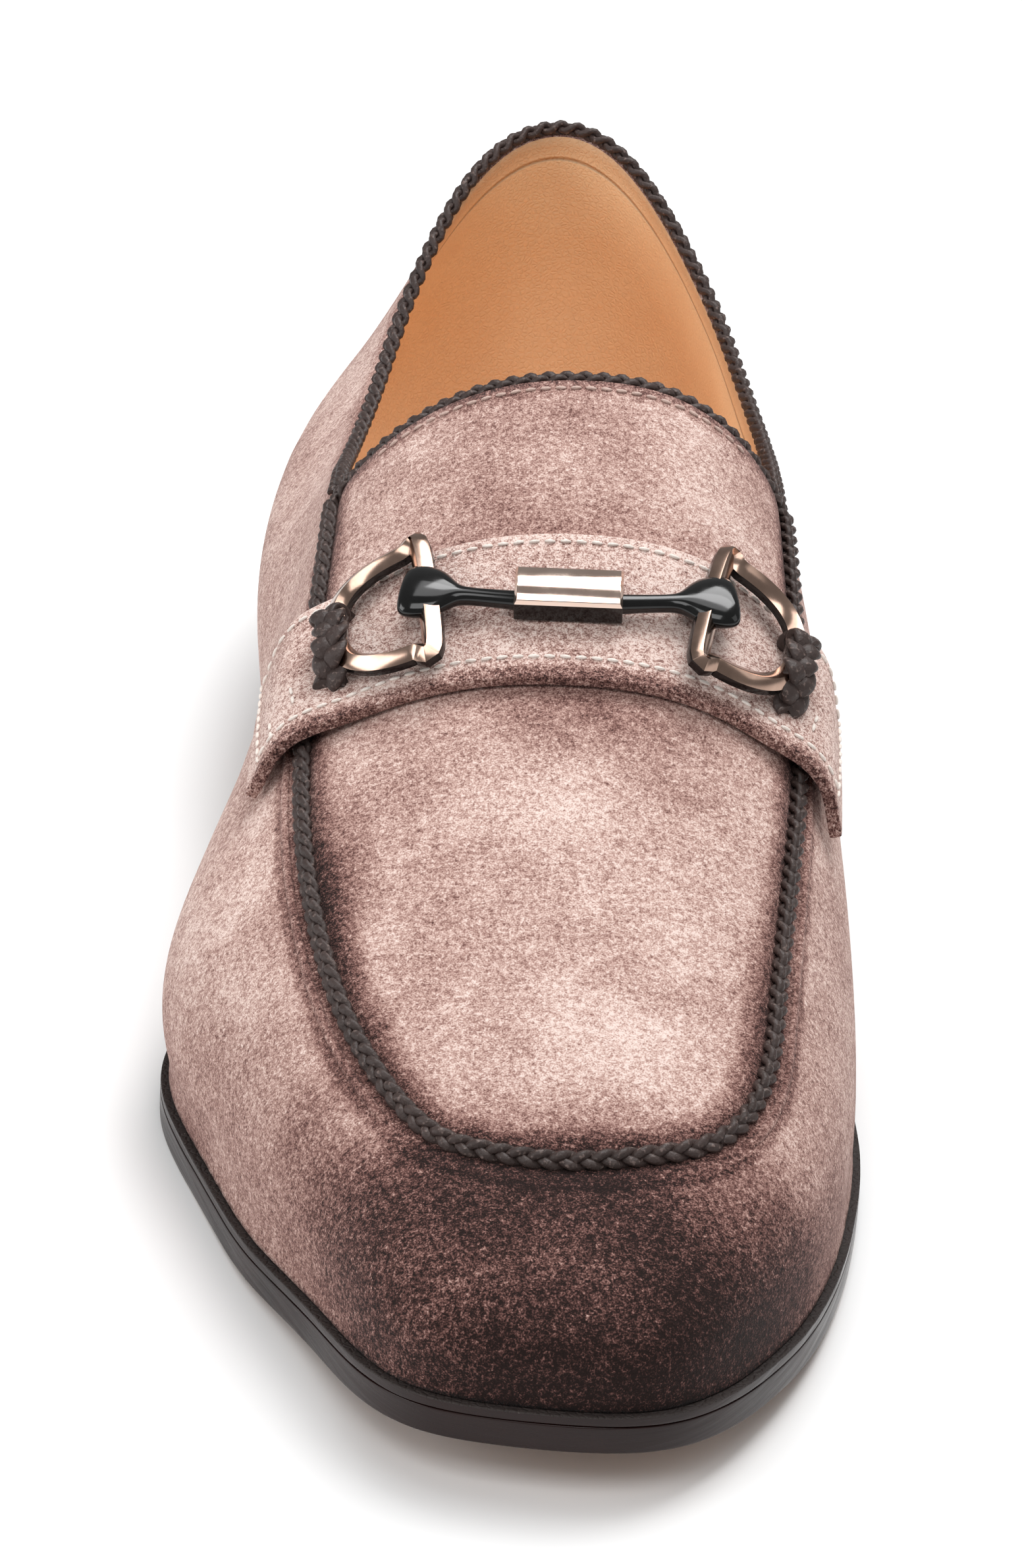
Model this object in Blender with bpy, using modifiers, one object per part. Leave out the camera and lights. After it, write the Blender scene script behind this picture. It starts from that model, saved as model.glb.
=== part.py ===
"""A leather bit loafer for the right foot, standing empty on its sole.

The toe points to -Y, the inner (medial) side of the foot is +X, and the ground is z = 0.
Everything hangs on the ribs of the last: each rib starts at the sole's edge and climbs
the wall to the apron seam, or further back to the topline.
"""

import math
from collections import namedtuple

import bmesh
import bpy
import numpy as np
from mathutils import Vector
from mathutils.bvhtree import BVHTree

OBJECT_NAME = "bit_loafer"

# Driving sizes, in metres
LENGTH = 0.300
BALL_WIDTH = 0.108
COLLAR_HEIGHT = 0.0875
TONGUE_RISE = 0.0256
TOE_SPRING = 0.0086
HEEL_HEIGHT = 0.0195
OUTSOLE_THICKNESS = 0.0044
MIDSOLE_THICKNESS = 0.0014
SOLE_EXTENSION = 0.0031
MIDSOLE_STEP = 0.0004
INSOLE_THICKNESS = 0.0025
WALL = 0.0020
GAP = 0.0003

APRON_BRAID = 0.0027
COLLAR_BRAID = 0.0031
GROOVE_WIDTH = 0.0038
GROOVE_DEPTH = 0.0011
EDGE_PROBE = 0.0030

STRAP_THICKNESS = 0.0021
STRAP_WIDTH = 0.0270
STRAP_FLARE = 0.0040
STRAP_ALONG = -0.0218
STRAP_AXIS_HEIGHT = 0.0300
STRAP_REACH = math.radians(67.0)
STRAP_SLANT = math.radians(3.0)
STRAP_SWEEP = 0.0020
STRAP_CLEARANCE = 0.0006
STRAP_SPREAD = 0.0060

RING_WIRE = 0.0026
RING_LENGTH = 0.0225
RING_WIDTH = 0.0156
RING_OFFSET = 0.0198
RING_ALONG = -0.0219
BIT_ACROSS = 0.0056
BIT_ALONG = -0.0236
BARREL_LENGTH = 0.0165
BARREL_WIDTH = 0.0074
BARREL_THICKNESS = 0.0050
BAR_DIAMETER = 0.0030
PADDLE_LENGTH = 0.0080
PADDLE_WIDTH = 0.0092
PADDLE_THICKNESS = 0.0044
BORE_CLEARANCE = 0.0003
BARREL_CLEARANCE = 0.0008
BARREL_BEVEL = 0.0012
PADDLE_BEVEL = 0.0010
KEEPER_WIDTH = 0.0105
KEEPER_THICKNESS = 0.0016
KEEPER_INSIDE = 0.0044
KEEPER_OUTSIDE = 0.0050
KEEPER_CROWN = 0.0017
KEEPER_LIP = 0.0007

# Proportions
RING_SQUARENESS = 2.6
BOW_REST = 0.9
PADDLE_SETBACK = 0.12
BAR_SEAT = 0.2
WALL_SLANT = 1.3
APRON_CROWDING = 0.055
SEAM_CLEARANCE = 1.5
SLOPE_LANE = 0.4

# How finely the forms are cut
RIBS_PER_ROW = 4
WALL_LEVELS = (0.0, 0.10, 0.22, 0.35, 0.48, 0.61, 0.74, 0.87, 1.0)
SLOPE_STEP = 0.02
FRONT_RIBS = 8
STRAP_COLUMNS = 36
STRAP_LANES = 6
RING_POINTS = 28
ROD_SIDES = 16
KEEPER_STEPS = 16
KEEPER_LANES = 4
SOLE_CUTS = 20
TUCK_STEPS = 20
TUCK_SPACING = 6
HALVINGS = 30
LIFT_ROUNDS = 3
WELD = 0.000001
SHARP_ANGLE = math.radians(35.0)

# Materials: linear colour, roughness and metallic value
Look = namedtuple("Look", "colour roughness metallic")
SUEDE = Look((0.42, 0.27, 0.23), 0.95, 0.0)
STRAP_SUEDE = Look((0.47, 0.32, 0.28), 0.95, 0.0)
BRAIDED_CORD = Look((0.045, 0.032, 0.030), 0.6, 0.0)
SOLE_LEATHER = Look((0.10, 0.055, 0.045), 0.25, 0.0)
RIM_LEATHER = Look((0.05, 0.030, 0.025), 0.7, 0.0)
HEEL_LEATHER = Look((0.08, 0.045, 0.035), 0.3, 0.0)
LINING_LEATHER = Look((0.55, 0.30, 0.14), 0.6, 0.0)
ROSE_METAL = Look((0.80, 0.62, 0.52), 0.15, 1.0)
RING_METAL = Look((0.45, 0.33, 0.27), 0.2, 1.0)
ENAMEL = Look((0.010, 0.010, 0.012), 0.1, 0.0)

# The heel starts here, and the forefoot lies flat between two stations, as shares of LENGTH
HEEL_BREAST = 0.745
FLAT_START = 0.26
FLAT_END = 0.36

# across and along: where the rib leaves the sole's edge, shares of BALL_WIDTH and LENGTH.
# rim: how far the sole stands out there, share of SOLE_EXTENSION.
# top_across, top_along, top_height: the rib's end at the seam or the topline, shares of
# BALL_WIDTH, LENGTH and COLLAR_HEIGHT.
# rise: how far the wall tips out as it leaves the sole, in degrees from upright.
# lean: the wall's slope where it ends, in degrees from level.
# fullness: how roundly it bulges between, as a share of the rib's straight length.
Rib = namedtuple("Rib", "across along rim top_across top_along top_height rise lean fullness")
RIBS = (
    Rib(0.074, -0.500, 1.00, 0.086, -0.402, 0.415, 22, 16, 0.44),
    Rib(0.241, -0.493, 1.00, 0.184, -0.396, 0.418, 20, 18, 0.44),
    Rib(0.363, -0.443, 0.95, 0.286, -0.381, 0.427, 16, 26, 0.43),
    Rib(0.445, -0.373, 0.85, 0.347, -0.339, 0.449, 15, 38, 0.43),
    Rib(0.497, -0.280, 0.90, 0.368, -0.270, 0.496, 13, 46, 0.40),
    Rib(0.508, -0.205, 0.80, 0.386, -0.180, 0.563, 9, 54, 0.39),
    Rib(0.455, -0.093, 0.50, 0.396, -0.063, 0.654, 15, 62, 0.42),
    Rib(0.362, 0.027, 0.30, 0.375, 0.083, 0.762, 22, 70, 0.42),
    Rib(0.306, 0.150, 0.30, 0.358, 0.200, 0.728, 22, 80, 0.42),
    Rib(0.306, 0.300, 0.35, 0.316, 0.310, 0.726, 16, 84, 0.42),
    Rib(0.278, 0.427, 0.45, 0.223, 0.413, 0.845, 16, 80, 0.42),
    Rib(0.170, 0.487, 0.50, 0.112, 0.466, 0.970, 16, 76, 0.42),
    Rib(-0.004, 0.499, 0.50, -0.010, 0.484, 1.010, 16, 74, 0.42),
    Rib(-0.178, 0.483, 0.50, -0.132, 0.461, 0.960, 18, 74, 0.42),
    Rib(-0.310, 0.420, 0.45, -0.228, 0.403, 0.812, 28, 66, 0.52),
    Rib(-0.372, 0.283, 0.35, -0.288, 0.307, 0.672, 38, 50, 0.66),
    Rib(-0.386, 0.140, 0.30, -0.318, 0.193, 0.678, 32, 56, 0.50),
    Rib(-0.384, 0.010, 0.30, -0.314, 0.083, 0.745, 14, 70, 0.38),
    Rib(-0.438, -0.090, 0.50, -0.315, -0.063, 0.651, 17, 55, 0.42),
    Rib(-0.487, -0.180, 0.80, -0.296, -0.177, 0.566, 22, 40, 0.44),
    Rib(-0.412, -0.267, 0.90, -0.247, -0.268, 0.500, 20, 34, 0.42),
    Rib(-0.329, -0.340, 0.95, -0.187, -0.329, 0.459, 18, 28, 0.42),
    Rib(-0.227, -0.407, 1.00, -0.110, -0.377, 0.432, 20, 22, 0.43),
    Rib(-0.088, -0.485, 1.00, -0.012, -0.399, 0.420, 22, 18, 0.44),
)
JUNCTION_ROW = 7

# Apron: crown above the seam as a share of TONGUE_RISE, and how round its section is
Crown = namedtuple("Crown", "along crown roundness")
CROWNS = (
    Crown(-0.402, 0.00, 1.00),
    Crown(-0.367, 0.06, 1.00),
    Crown(-0.333, 0.13, 1.00),
    Crown(-0.250, 0.27, 1.00),
    Crown(-0.167, 0.42, 0.97),
    Crown(-0.083, 0.58, 0.92),
    Crown(0.000, 0.78, 0.84),
    Crown(0.083, 1.00, 0.74),
)
CROWN_POWER = 2.35
CROWN_SKEW = 0.09

# Underside of the outsole: height over the ground as shares of TOE_SPRING and HEEL_HEIGHT
Station = namedtuple("Station", "share spring heel")
STATIONS = (
    Station(0.00, 1.00, 0.00),
    Station(0.05, 0.69, 0.00),
    Station(0.12, 0.32, 0.00),
    Station(0.19, 0.08, 0.00),
    Station(FLAT_START, 0.00, 0.00),
    Station(FLAT_END, 0.00, 0.00),
    Station(0.43, 0.00, 0.06),
    Station(0.50, 0.00, 0.21),
    Station(0.60, 0.00, 0.52),
    Station(0.68, 0.00, 0.78),
    Station(HEEL_BREAST, 0.00, 0.93),
    Station(0.82, 0.00, 1.00),
    Station(1.00, 0.00, 1.00),
)


def periodic_spline(values, per_row):
    """Smooth closed curve through the rows of values, with per_row samples to a row."""
    count = len(values)
    steps = np.roll(values[:, :2], -1, axis=0) - values[:, :2]
    chord = np.linalg.norm(steps * (BALL_WIDTH, LENGTH), axis=1)
    system = np.zeros((count, count))
    right = np.zeros_like(values)
    for row in range(count):
        before = chord[row - 1]
        after = chord[row]
        following = (row + 1) % count
        system[row, row - 1] += before
        system[row, row] += 2.0 * (before + after)
        system[row, following] += after
        right[row] = 6.0 * (
            (values[following] - values[row]) / after - (values[row] - values[row - 1]) / before
        )
    bend = np.linalg.solve(system, right)
    samples = []
    for row in range(count):
        following = (row + 1) % count
        span = chord[row]
        for step in range(per_row):
            b = step / per_row
            a = 1.0 - b
            samples.append(
                a * values[row]
                + b * values[following]
                + ((a**3 - a) * bend[row] + (b**3 - b) * bend[following]) * span**2 / 6.0
            )
    return np.array(samples)


def monotone_curve(knots, values):
    """A function that runs smoothly through the knots and never overshoots them."""
    knots = np.array(knots)
    values = np.array(values)
    slopes = np.diff(values) / np.diff(knots)
    tangents = np.zeros_like(values)
    tangents[0] = slopes[0]
    tangents[-1] = slopes[-1]
    for i in range(1, len(knots) - 1):
        if slopes[i - 1] * slopes[i] > 0.0:
            tangents[i] = 2.0 / (1.0 / slopes[i - 1] + 1.0 / slopes[i])

    def curve(x):
        x = min(max(x, knots[0]), knots[-1])
        i = min(int(np.searchsorted(knots, x, side="right")) - 1, len(knots) - 2)
        span = knots[i + 1] - knots[i]
        t = (x - knots[i]) / span
        return (
            (2 * t**3 - 3 * t**2 + 1) * values[i]
            + (t**3 - 2 * t**2 + t) * span * tangents[i]
            + (3 * t**2 - 2 * t**3) * values[i + 1]
            + (t**3 - t**2) * span * tangents[i + 1]
        )

    return curve


def unit(vector):
    return vector / np.linalg.norm(vector)


UP = np.array((0.0, 0.0, 1.0))

spring_curve = monotone_curve([s.share for s in STATIONS], [s.spring for s in STATIONS])
heel_curve = monotone_curve([s.share for s in STATIONS], [s.heel for s in STATIONS])
crown_curve = monotone_curve([c.along for c in CROWNS], [c.crown for c in CROWNS])
roundness_curve = monotone_curve([c.along for c in CROWNS], [c.roundness for c in CROWNS])


def underside(y):
    """Height of the outsole's underside over the ground."""
    share = y / LENGTH + 0.5
    return TOE_SPRING * spring_curve(share) + HEEL_HEIGHT * heel_curve(share)


def ground(_):
    return 0.0


def heel_top(y):
    return underside(y) - GAP


def outsole_top(y):
    return underside(y) + OUTSOLE_THICKNESS


def midsole_underside(y):
    return outsole_top(y) + GAP


def midsole_top(y):
    return midsole_underside(y) + MIDSOLE_THICKNESS


def footbed(y):
    """Height of the surface on which the upper and the insole stand."""
    return midsole_top(y) + GAP


def insole_top(y):
    return footbed(y) + INSOLE_THICKNESS


class Last:
    """The ribs of the shoe, sampled all round, and the surfaces that they carry."""

    def __init__(self):
        rows = periodic_spline(np.array(RIBS), RIBS_PER_ROW)
        self.count = len(rows)
        self.junction = JUNCTION_ROW * RIBS_PER_ROW
        self.edge = rows[:, 0:2] * (BALL_WIDTH, LENGTH)
        self.top = rows[:, 3:6] * (BALL_WIDTH, LENGTH, COLLAR_HEIGHT)
        along = np.roll(self.edge, -1, axis=0) - np.roll(self.edge, 1, axis=0)
        self.out = np.array([unit(np.array((d[1], -d[0], 0.0))) for d in along])
        self.rim = rows[:, 2] * SOLE_EXTENSION
        self.rise = np.radians(rows[:, 6])
        self.lean = np.radians(rows[:, 7])
        self.fullness = rows[:, 8]
        side = range(self.junction + 1)
        self.medial_seam = np.array([self.top[i] for i in side])
        self.lateral_seam = np.array([self.top[-i] for i in side])

    def outline(self, inset):
        """Sole outline moved inwards by a distance or a list of distances."""
        inset = np.broadcast_to(inset, self.count)
        return [self.edge[i] - self.out[i][:2] * inset[i] for i in range(self.count)]

    def foot_of(self, rib):
        across, along = self.edge[rib] - self.out[rib][:2] * self.rim[rib]
        return np.array((across, along, footbed(along)))

    def apron_height(self, across, along):
        """Height of the apron and tongue over any point between the two seams."""
        medial = self.medial_seam
        lateral = self.lateral_seam
        right = np.interp(along, medial[:, 1], medial[:, 0])
        left = np.interp(along, lateral[:, 1], lateral[:, 0])
        high = np.interp(along, medial[:, 1], medial[:, 2])
        low = np.interp(along, lateral[:, 1], lateral[:, 2])
        half = max(0.5 * (right - left), WELD)
        share = min(max((across - 0.5 * (right + left)) / half, -1.0), 1.0)
        share -= CROWN_SKEW * (1.0 - share * share)
        station = along / LENGTH
        fullness = (1.0 - abs(share) ** CROWN_POWER) ** roundness_curve(station)
        rise = TONGUE_RISE * crown_curve(station)
        level = low + (high - low) * 0.5 * (share + 1.0)
        return level + rise * fullness

    def is_seam(self, rib):
        rib %= self.count
        return rib <= self.junction or rib >= self.count - self.junction

    def wall_handles(self, rib):
        """The four Bezier points of the wall along one rib, from the feather to the top."""
        start = self.foot_of(rib)
        end = self.top[rib]
        out = self.out[rib]
        handle = self.fullness[rib] * np.linalg.norm(end - start)
        rise = self.rise[rib]
        lean = self.lean[rib]
        first = start + handle * (out * math.sin(rise) + UP * math.cos(rise))
        second = end + handle * (out * math.cos(lean) - UP * math.sin(lean))
        return start, first, second, end

    def wall(self, rib, share):
        p0, p1, p2, p3 = self.wall_handles(rib)
        s = 1.0 - share
        return s**3 * p0 + 3 * s * s * share * p1 + 3 * s * share**2 * p2 + share**3 * p3

    def wall_normal(self, rib, share):
        """Outward direction of the wall on one rib."""
        rib %= self.count
        share = min(max(share, SLOPE_STEP), 1.0)
        before = self.wall((rib - 1) % self.count, share)
        after = self.wall((rib + 1) % self.count, share)
        climb = self.wall(rib, share) - self.wall(rib, share - SLOPE_STEP)
        return unit(np.cross(after - before, climb))

    def share_below_top(self, rib, distance):
        """Where on a rib the wall lies a distance below its top."""
        handle = self.wall_handles(rib)[2]
        return 1.0 - distance / (3.0 * np.linalg.norm(self.top[rib] - handle))

    def into_apron(self, rib):
        """Level direction that leads from the seam into the apron, square to the seam."""
        before = self.top[(rib - 1) % self.count]
        after = self.top[(rib + 1) % self.count]
        run = after - before
        return unit(np.array((-run[1], run[0], 0.0)))

    def apron_lip(self, rib, distance):
        """The apron's edge beside the seam's groove."""
        level = self.top[rib] + self.into_apron(rib) * distance
        level[2] = self.apron_height(level[0], level[1])
        return level

    def seam(self, rib):
        """The seam's middle, its outward normal and half of its groove's width at a rib."""
        reach = 0.5 * GROOVE_WIDTH
        lower = self.wall(rib, self.share_below_top(rib, reach))
        upper = self.apron_lip(rib, reach)
        run = self.top[(rib + 1) % self.count] - self.top[(rib - 1) % self.count]
        normal = unit(np.cross(run, upper - lower))
        return 0.5 * (lower + upper), normal, 0.5 * np.linalg.norm(upper - lower)

    def braid_centre(self, rib):
        """Where the apron's cord lies at a rib: over the groove, clear of its two sides."""
        middle, normal, half = self.seam(rib)
        side = math.hypot(half, GROOVE_DEPTH)
        return middle + normal * ((0.5 * APRON_BRAID + GAP) * side / half - GROOVE_DEPTH)


def seam_ribs(last):
    """Ribs of the seam from the medial junction round the toe to the lateral junction."""
    return [i % last.count for i in range(last.junction, -last.junction - 1, -1)]


def outer_surface(last, groove):
    """Outer face of the upper: wall and apron, with the seam's groove cut or left out."""
    mesh = bmesh.new()
    reach = 0.5 * GROOVE_WIDTH
    columns = []
    for rib in range(last.count):
        top = last.share_below_top(rib, reach) if last.is_seam(rib) else 1.0
        columns.append([mesh.verts.new(last.wall(rib, level * top)) for level in WALL_LEVELS])
    for rib in range(last.count):
        here = columns[rib]
        following = columns[(rib + 1) % last.count]
        for level in range(len(WALL_LEVELS) - 1):
            mesh.faces.new((here[level], following[level], following[level + 1], here[level + 1]))

    valley = {}
    lip = {}
    for rib in seam_ribs(last):
        middle, normal, _ = last.seam(rib)
        valley[rib] = mesh.verts.new(middle - normal * groove)
        lip[rib] = mesh.verts.new(last.apron_lip(rib, reach))
    ribs = seam_ribs(last)[::-1]
    for here, following in zip(ribs, ribs[1:]):
        mesh.faces.new((columns[here][-1], columns[following][-1], valley[following], valley[here]))
        mesh.faces.new((valley[here], valley[following], lip[following], lip[here]))

    front = [rib % last.count for rib in range(-FRONT_RIBS, FRONT_RIBS + 1)]
    rows = [[lip[rib] for rib in front]]
    depth = last.junction - FRONT_RIBS
    width = len(front) - 1
    first = [np.array(vertex.co) for vertex in rows[0]]
    for step in range(1, depth + 1):
        left = lip[(-FRONT_RIBS - step) % last.count]
        right = lip[FRONT_RIBS + step]
        fade = (1.0 - step / depth) ** 2
        row = [left]
        for column in range(1, width):
            share = column / width
            crowd = share - (1.0 - fade) * APRON_CROWDING * math.sin(2.0 * math.pi * share)
            level = (1.0 - crowd) * np.array(left.co) + crowd * np.array(right.co)
            bow = first[column] - (1.0 - share) * first[0] - share * first[-1]
            level = level + bow * fade
            level[2] = last.apron_height(level[0], level[1])
            row.append(mesh.verts.new(level))
        row.append(right)
        rows.append(row)
    for near, far in zip(rows, rows[1:]):
        for column in range(width):
            mesh.faces.new((near[column], near[column + 1], far[column + 1], far[column]))
    tongue_edge = [vertex.co.copy() for vertex in rows[-1]]
    mesh.normal_update()
    return mesh, tongue_edge


def paint(obj, look):
    """Give an object a material of its own."""
    material = bpy.data.materials.new(obj.name)
    material.use_nodes = True
    shader = material.node_tree.nodes["Principled BSDF"]
    shader.inputs["Base Color"].default_value = (*look.colour, 1.0)
    shader.inputs["Roughness"].default_value = look.roughness
    shader.inputs["Metallic"].default_value = look.metallic
    obj.data.materials.append(material)


def add_object(name, data, collection):
    obj = bpy.data.objects.new(name, data)
    collection.objects.link(obj)
    return obj


def object_from_bmesh(name, mesh, collection):
    data = bpy.data.meshes.new(name)
    mesh.to_mesh(data)
    mesh.free()
    data.shade_smooth()
    data.set_sharp_from_angle(angle=SHARP_ANGLE)
    return add_object(name, data, collection)


def make_upper(last, collection):
    """The whole upper as one shell, open at the collar and underneath."""
    surface, tongue_edge = outer_surface(last, GROOVE_DEPTH)
    upper = object_from_bmesh("upper", surface, collection)
    shell = upper.modifiers.new("wall", "SOLIDIFY")
    shell.thickness = WALL
    shell.offset = -1.0
    shell.use_even_offset = True
    shell.use_quality_normals = True
    paint(upper, SUEDE)
    return tongue_edge


def make_plate(name, outline, bottom, top, look, collection):
    """A layer cut to an outline, between two heights that follow the sole's length."""
    mesh = bmesh.new()
    mesh.faces.new([mesh.verts.new((x, y, 0.0)) for x, y in outline])
    lowest = min(y for x, y in outline)
    highest = max(y for x, y in outline)
    cuts = {station.share for station in STATIONS} | {n / SOLE_CUTS for n in range(1, SOLE_CUTS)}
    for share in sorted(cuts):
        along = (share - 0.5) * LENGTH
        if lowest + GAP < along < highest - GAP:
            every = mesh.verts[:] + mesh.edges[:] + mesh.faces[:]
            bmesh.ops.bisect_plane(mesh, geom=every, plane_co=(0, along, 0), plane_no=(0, 1, 0))
    raised = bmesh.ops.extrude_face_region(mesh, geom=mesh.faces[:])["geom"]
    upper_side = {item for item in raised if isinstance(item, bmesh.types.BMVert)}
    for vertex in mesh.verts:
        height = top if vertex in upper_side else bottom
        vertex.co.z = height(vertex.co.y)
    bmesh.ops.recalc_face_normals(mesh, faces=mesh.faces[:])
    paint(object_from_bmesh(name, mesh, collection), look)


def make_sole(last, collection):
    """Outsole, the thin midsole that shows as a rim, the insole and the heel block."""
    make_plate("outsole", last.outline(0.0), underside, outsole_top, SOLE_LEATHER, collection)
    rim = last.outline(MIDSOLE_STEP)
    make_plate("midsole", rim, midsole_underside, midsole_top, RIM_LEATHER, collection)
    feather = last.outline(last.rim + WALL * WALL_SLANT + GAP)
    make_plate("insole", feather, footbed, insole_top, LINING_LEATHER, collection)
    make_plate("heel", heel_outline(last), ground, heel_top, HEEL_LEATHER, collection)


def heel_outline(last):
    """The part of the sole's outline behind the heel breast, closed by a straight breast."""
    breast = (HEEL_BREAST - 0.5) * LENGTH
    behind = []
    outline = last.outline(MIDSOLE_STEP)
    for here, following in zip(outline, outline[1:] + outline[:1]):
        if here[1] >= breast:
            behind.append(here)
        if (here[1] - breast) * (following[1] - breast) < 0.0:
            share = (breast - here[1]) / (following[1] - here[1])
            behind.append(here + (following - here) * share)
    return behind


def make_cord(name, points, diameter, closed, collection):
    """A round cord: a curve with a bevel, made a mesh with its ends welded."""
    data = bpy.data.curves.new(name, "CURVE")
    data.dimensions = "3D"
    data.bevel_depth = 0.5 * diameter
    data.bevel_resolution = 1
    data.use_fill_caps = not closed
    spline = data.splines.new("POLY")
    spline.points.add(len(points) - 1)
    for slot, point in zip(spline.points, points):
        slot.co = (*point, 1.0)
    spline.use_cyclic_u = closed
    return meshed(add_object(name, data, collection), collection)


def meshed(curve_object, collection):
    """Replace a curve object by its mesh, with the caps welded on."""
    name = curve_object.name
    view = bpy.context.evaluated_depsgraph_get()
    view.update()
    data = bpy.data.meshes.new_from_object(curve_object.evaluated_get(view))
    place = curve_object.matrix_world.copy()
    bpy.data.objects.remove(curve_object)
    mesh = bmesh.new()
    mesh.from_mesh(data)
    bmesh.ops.remove_doubles(mesh, verts=mesh.verts[:], dist=WELD)
    bmesh.ops.recalc_face_normals(mesh, faces=mesh.faces[:])
    bpy.data.meshes.remove(data)
    solid = object_from_bmesh(name, mesh, collection)
    solid.matrix_world = place
    return solid


def make_apron_braid(last, tongue_edge, collection):
    """The plaited cord that lies in the apron seam and binds the tongue's edge."""
    radius = 0.5 * APRON_BRAID
    stand = radius + 2.0 * GAP
    ribs = seam_ribs(last)
    path = [last.braid_centre(rib) for rib in ribs]
    for end, inner in ((0, 1), (-1, -2)):
        back = unit(last.top[ribs[end]] - last.top[ribs[inner]])
        path.insert(0 if end == 0 else len(path), path[end] + back * stand)
    edge = [np.array(point) for point in tongue_edge]
    for i in range(1, len(edge) - 1):
        run = edge[i + 1] - edge[i - 1]
        probe = edge[i] - np.array((0.0, EDGE_PROBE, 0.0))
        probe[2] = last.apron_height(probe[0], probe[1])
        normal = unit(np.cross(run, edge[i] - probe))
        beyond = unit(np.cross(normal, run))
        path.append(edge[i] - normal * 0.5 * WALL + beyond * stand)
    paint(make_cord("apron_braid", path, APRON_BRAID, True, collection), BRAIDED_CORD)
    return path


def make_collar_braid(last, apron_path, collection):
    """The plaited cord that binds the topline and ends against the apron's braid."""
    radius = 0.5 * COLLAR_BRAID
    apart = 0.5 * (APRON_BRAID + COLLAR_BRAID) + GAP
    first = last.junction
    final = last.count - last.junction
    path = []
    for rib in range(first + 1, final):
        normal = last.wall_normal(rib, 1.0)
        climb = unit(last.top[rib] - last.wall(rib, 1.0 - SLOPE_STEP))
        stand = radius + SEAM_CLEARANCE * GAP
        path.append(last.top[rib] + climb * stand - normal * 0.5 * WALL)
    for end in (0, -1):
        point = path[end]
        junction = last.top[first if end == 0 else final]
        lift = point - last.top[first + 1 if end == 0 else final - 1]
        goal = junction + lift
        for step in range(1, TUCK_STEPS):
            trial = point + (goal - point) * step / TUCK_STEPS
            if min(np.linalg.norm(trial - other) for other in apron_path) < apart + radius:
                break
            if step % TUCK_SPACING == 0:
                path.insert(0 if end == 0 else len(path), trial)
    paint(make_cord("collar_braid", path, COLLAR_BRAID, False, collection), BRAIDED_CORD)


class Strap:
    """Places on the strap: a from -1 (lateral end) to 1 (medial), v from -1 (toe side) to 1."""

    def __init__(self, last):
        surface, _ = outer_surface(last, 0.0)
        self.tree = BVHTree.FromBMesh(surface)
        surface.free()
        self.last = last
        middle, _, _ = last.seam(last.junction)
        centre = last.braid_centre(last.junction)
        self.braid_top = np.linalg.norm(centre - middle) + 0.5 * APRON_BRAID

    def along(self, a, v):
        half = 0.5 * STRAP_WIDTH
        flare = STRAP_FLARE * abs(a) ** 4 if v < 0.0 else -STRAP_SWEEP * abs(a) ** 3
        return STRAP_ALONG + v * (half + flare)

    def inner(self, a, v):
        """Point on the strap's inner face, and the direction that leads out of the shoe."""
        last = self.last
        along = self.along(a, v)
        right = np.interp(along, last.medial_seam[:, 1], last.medial_seam[:, 0])
        left = np.interp(along, last.lateral_seam[:, 1], last.lateral_seam[:, 0])
        high = np.interp(along, last.medial_seam[:, 1], last.medial_seam[:, 2])
        low = np.interp(along, last.lateral_seam[:, 1], last.lateral_seam[:, 2])
        middle = 0.5 * (left + right)
        angle = a * (STRAP_REACH - v * STRAP_SLANT)
        axis = Vector((middle, along, STRAP_AXIS_HEIGHT))
        ray = Vector((math.sin(angle), 0.0, math.cos(angle)))
        hit = self.tree.ray_cast(axis, ray)[0]
        reach = (hit - axis).length
        clear = STRAP_CLEARANCE
        for across, height in ((left, low), (right, high)):
            seam = math.atan2(across - middle, height - STRAP_AXIS_HEIGHT)
            aside = (angle - seam) * reach / STRAP_SPREAD
            clear += (self.braid_top + GAP) * math.exp(-aside * aside)
        return np.array(axis + ray * (reach + clear)), np.array(ray)

    def at(self, a, v, height=0.0):
        point, ray = self.inner(a, v)
        return point + ray * (STRAP_THICKNESS + height)

    def lane_at(self, along):
        """The lane v at a distance along the shoe, kept on the strap."""
        return min(max(2.0 * (along - STRAP_ALONG) / STRAP_WIDTH, -1.0), 1.0)

    def share_at(self, across, v):
        """The place a along the strap that lies at a distance across the shoe."""
        low, high = -1.0, 1.0
        for _ in range(HALVINGS):
            middle = 0.5 * (low + high)
            if self.at(middle, v)[0] < across:
                low = middle
            else:
                high = middle
        return 0.5 * (low + high)


def grid_surface(rows):
    """An open surface through rows of points."""
    mesh = bmesh.new()
    grid = [[mesh.verts.new(point) for point in row] for row in rows]
    for near, far in zip(grid, grid[1:]):
        for i in range(len(near) - 1):
            mesh.faces.new((near[i], near[i + 1], far[i + 1], far[i]))
    mesh.normal_update()
    return mesh


def thicken(obj, thickness):
    shell = obj.modifiers.new("thickness", "SOLIDIFY")
    shell.thickness = thickness
    shell.offset = 1.0
    shell.use_even_offset = True
    shell.use_quality_normals = True


def make_strap(strap, collection):
    """The strap over the instep, which carries the bit."""
    rows = []
    for lane in range(STRAP_LANES + 1):
        v = 2.0 * lane / STRAP_LANES - 1.0
        columns = range(STRAP_COLUMNS + 1)
        rows.append([strap.inner(2.0 * i / STRAP_COLUMNS - 1.0, v)[0] for i in columns])
    obj = object_from_bmesh("strap", grid_surface(rows), collection)
    thicken(obj, STRAP_THICKNESS)
    paint(obj, STRAP_SUEDE)


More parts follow.
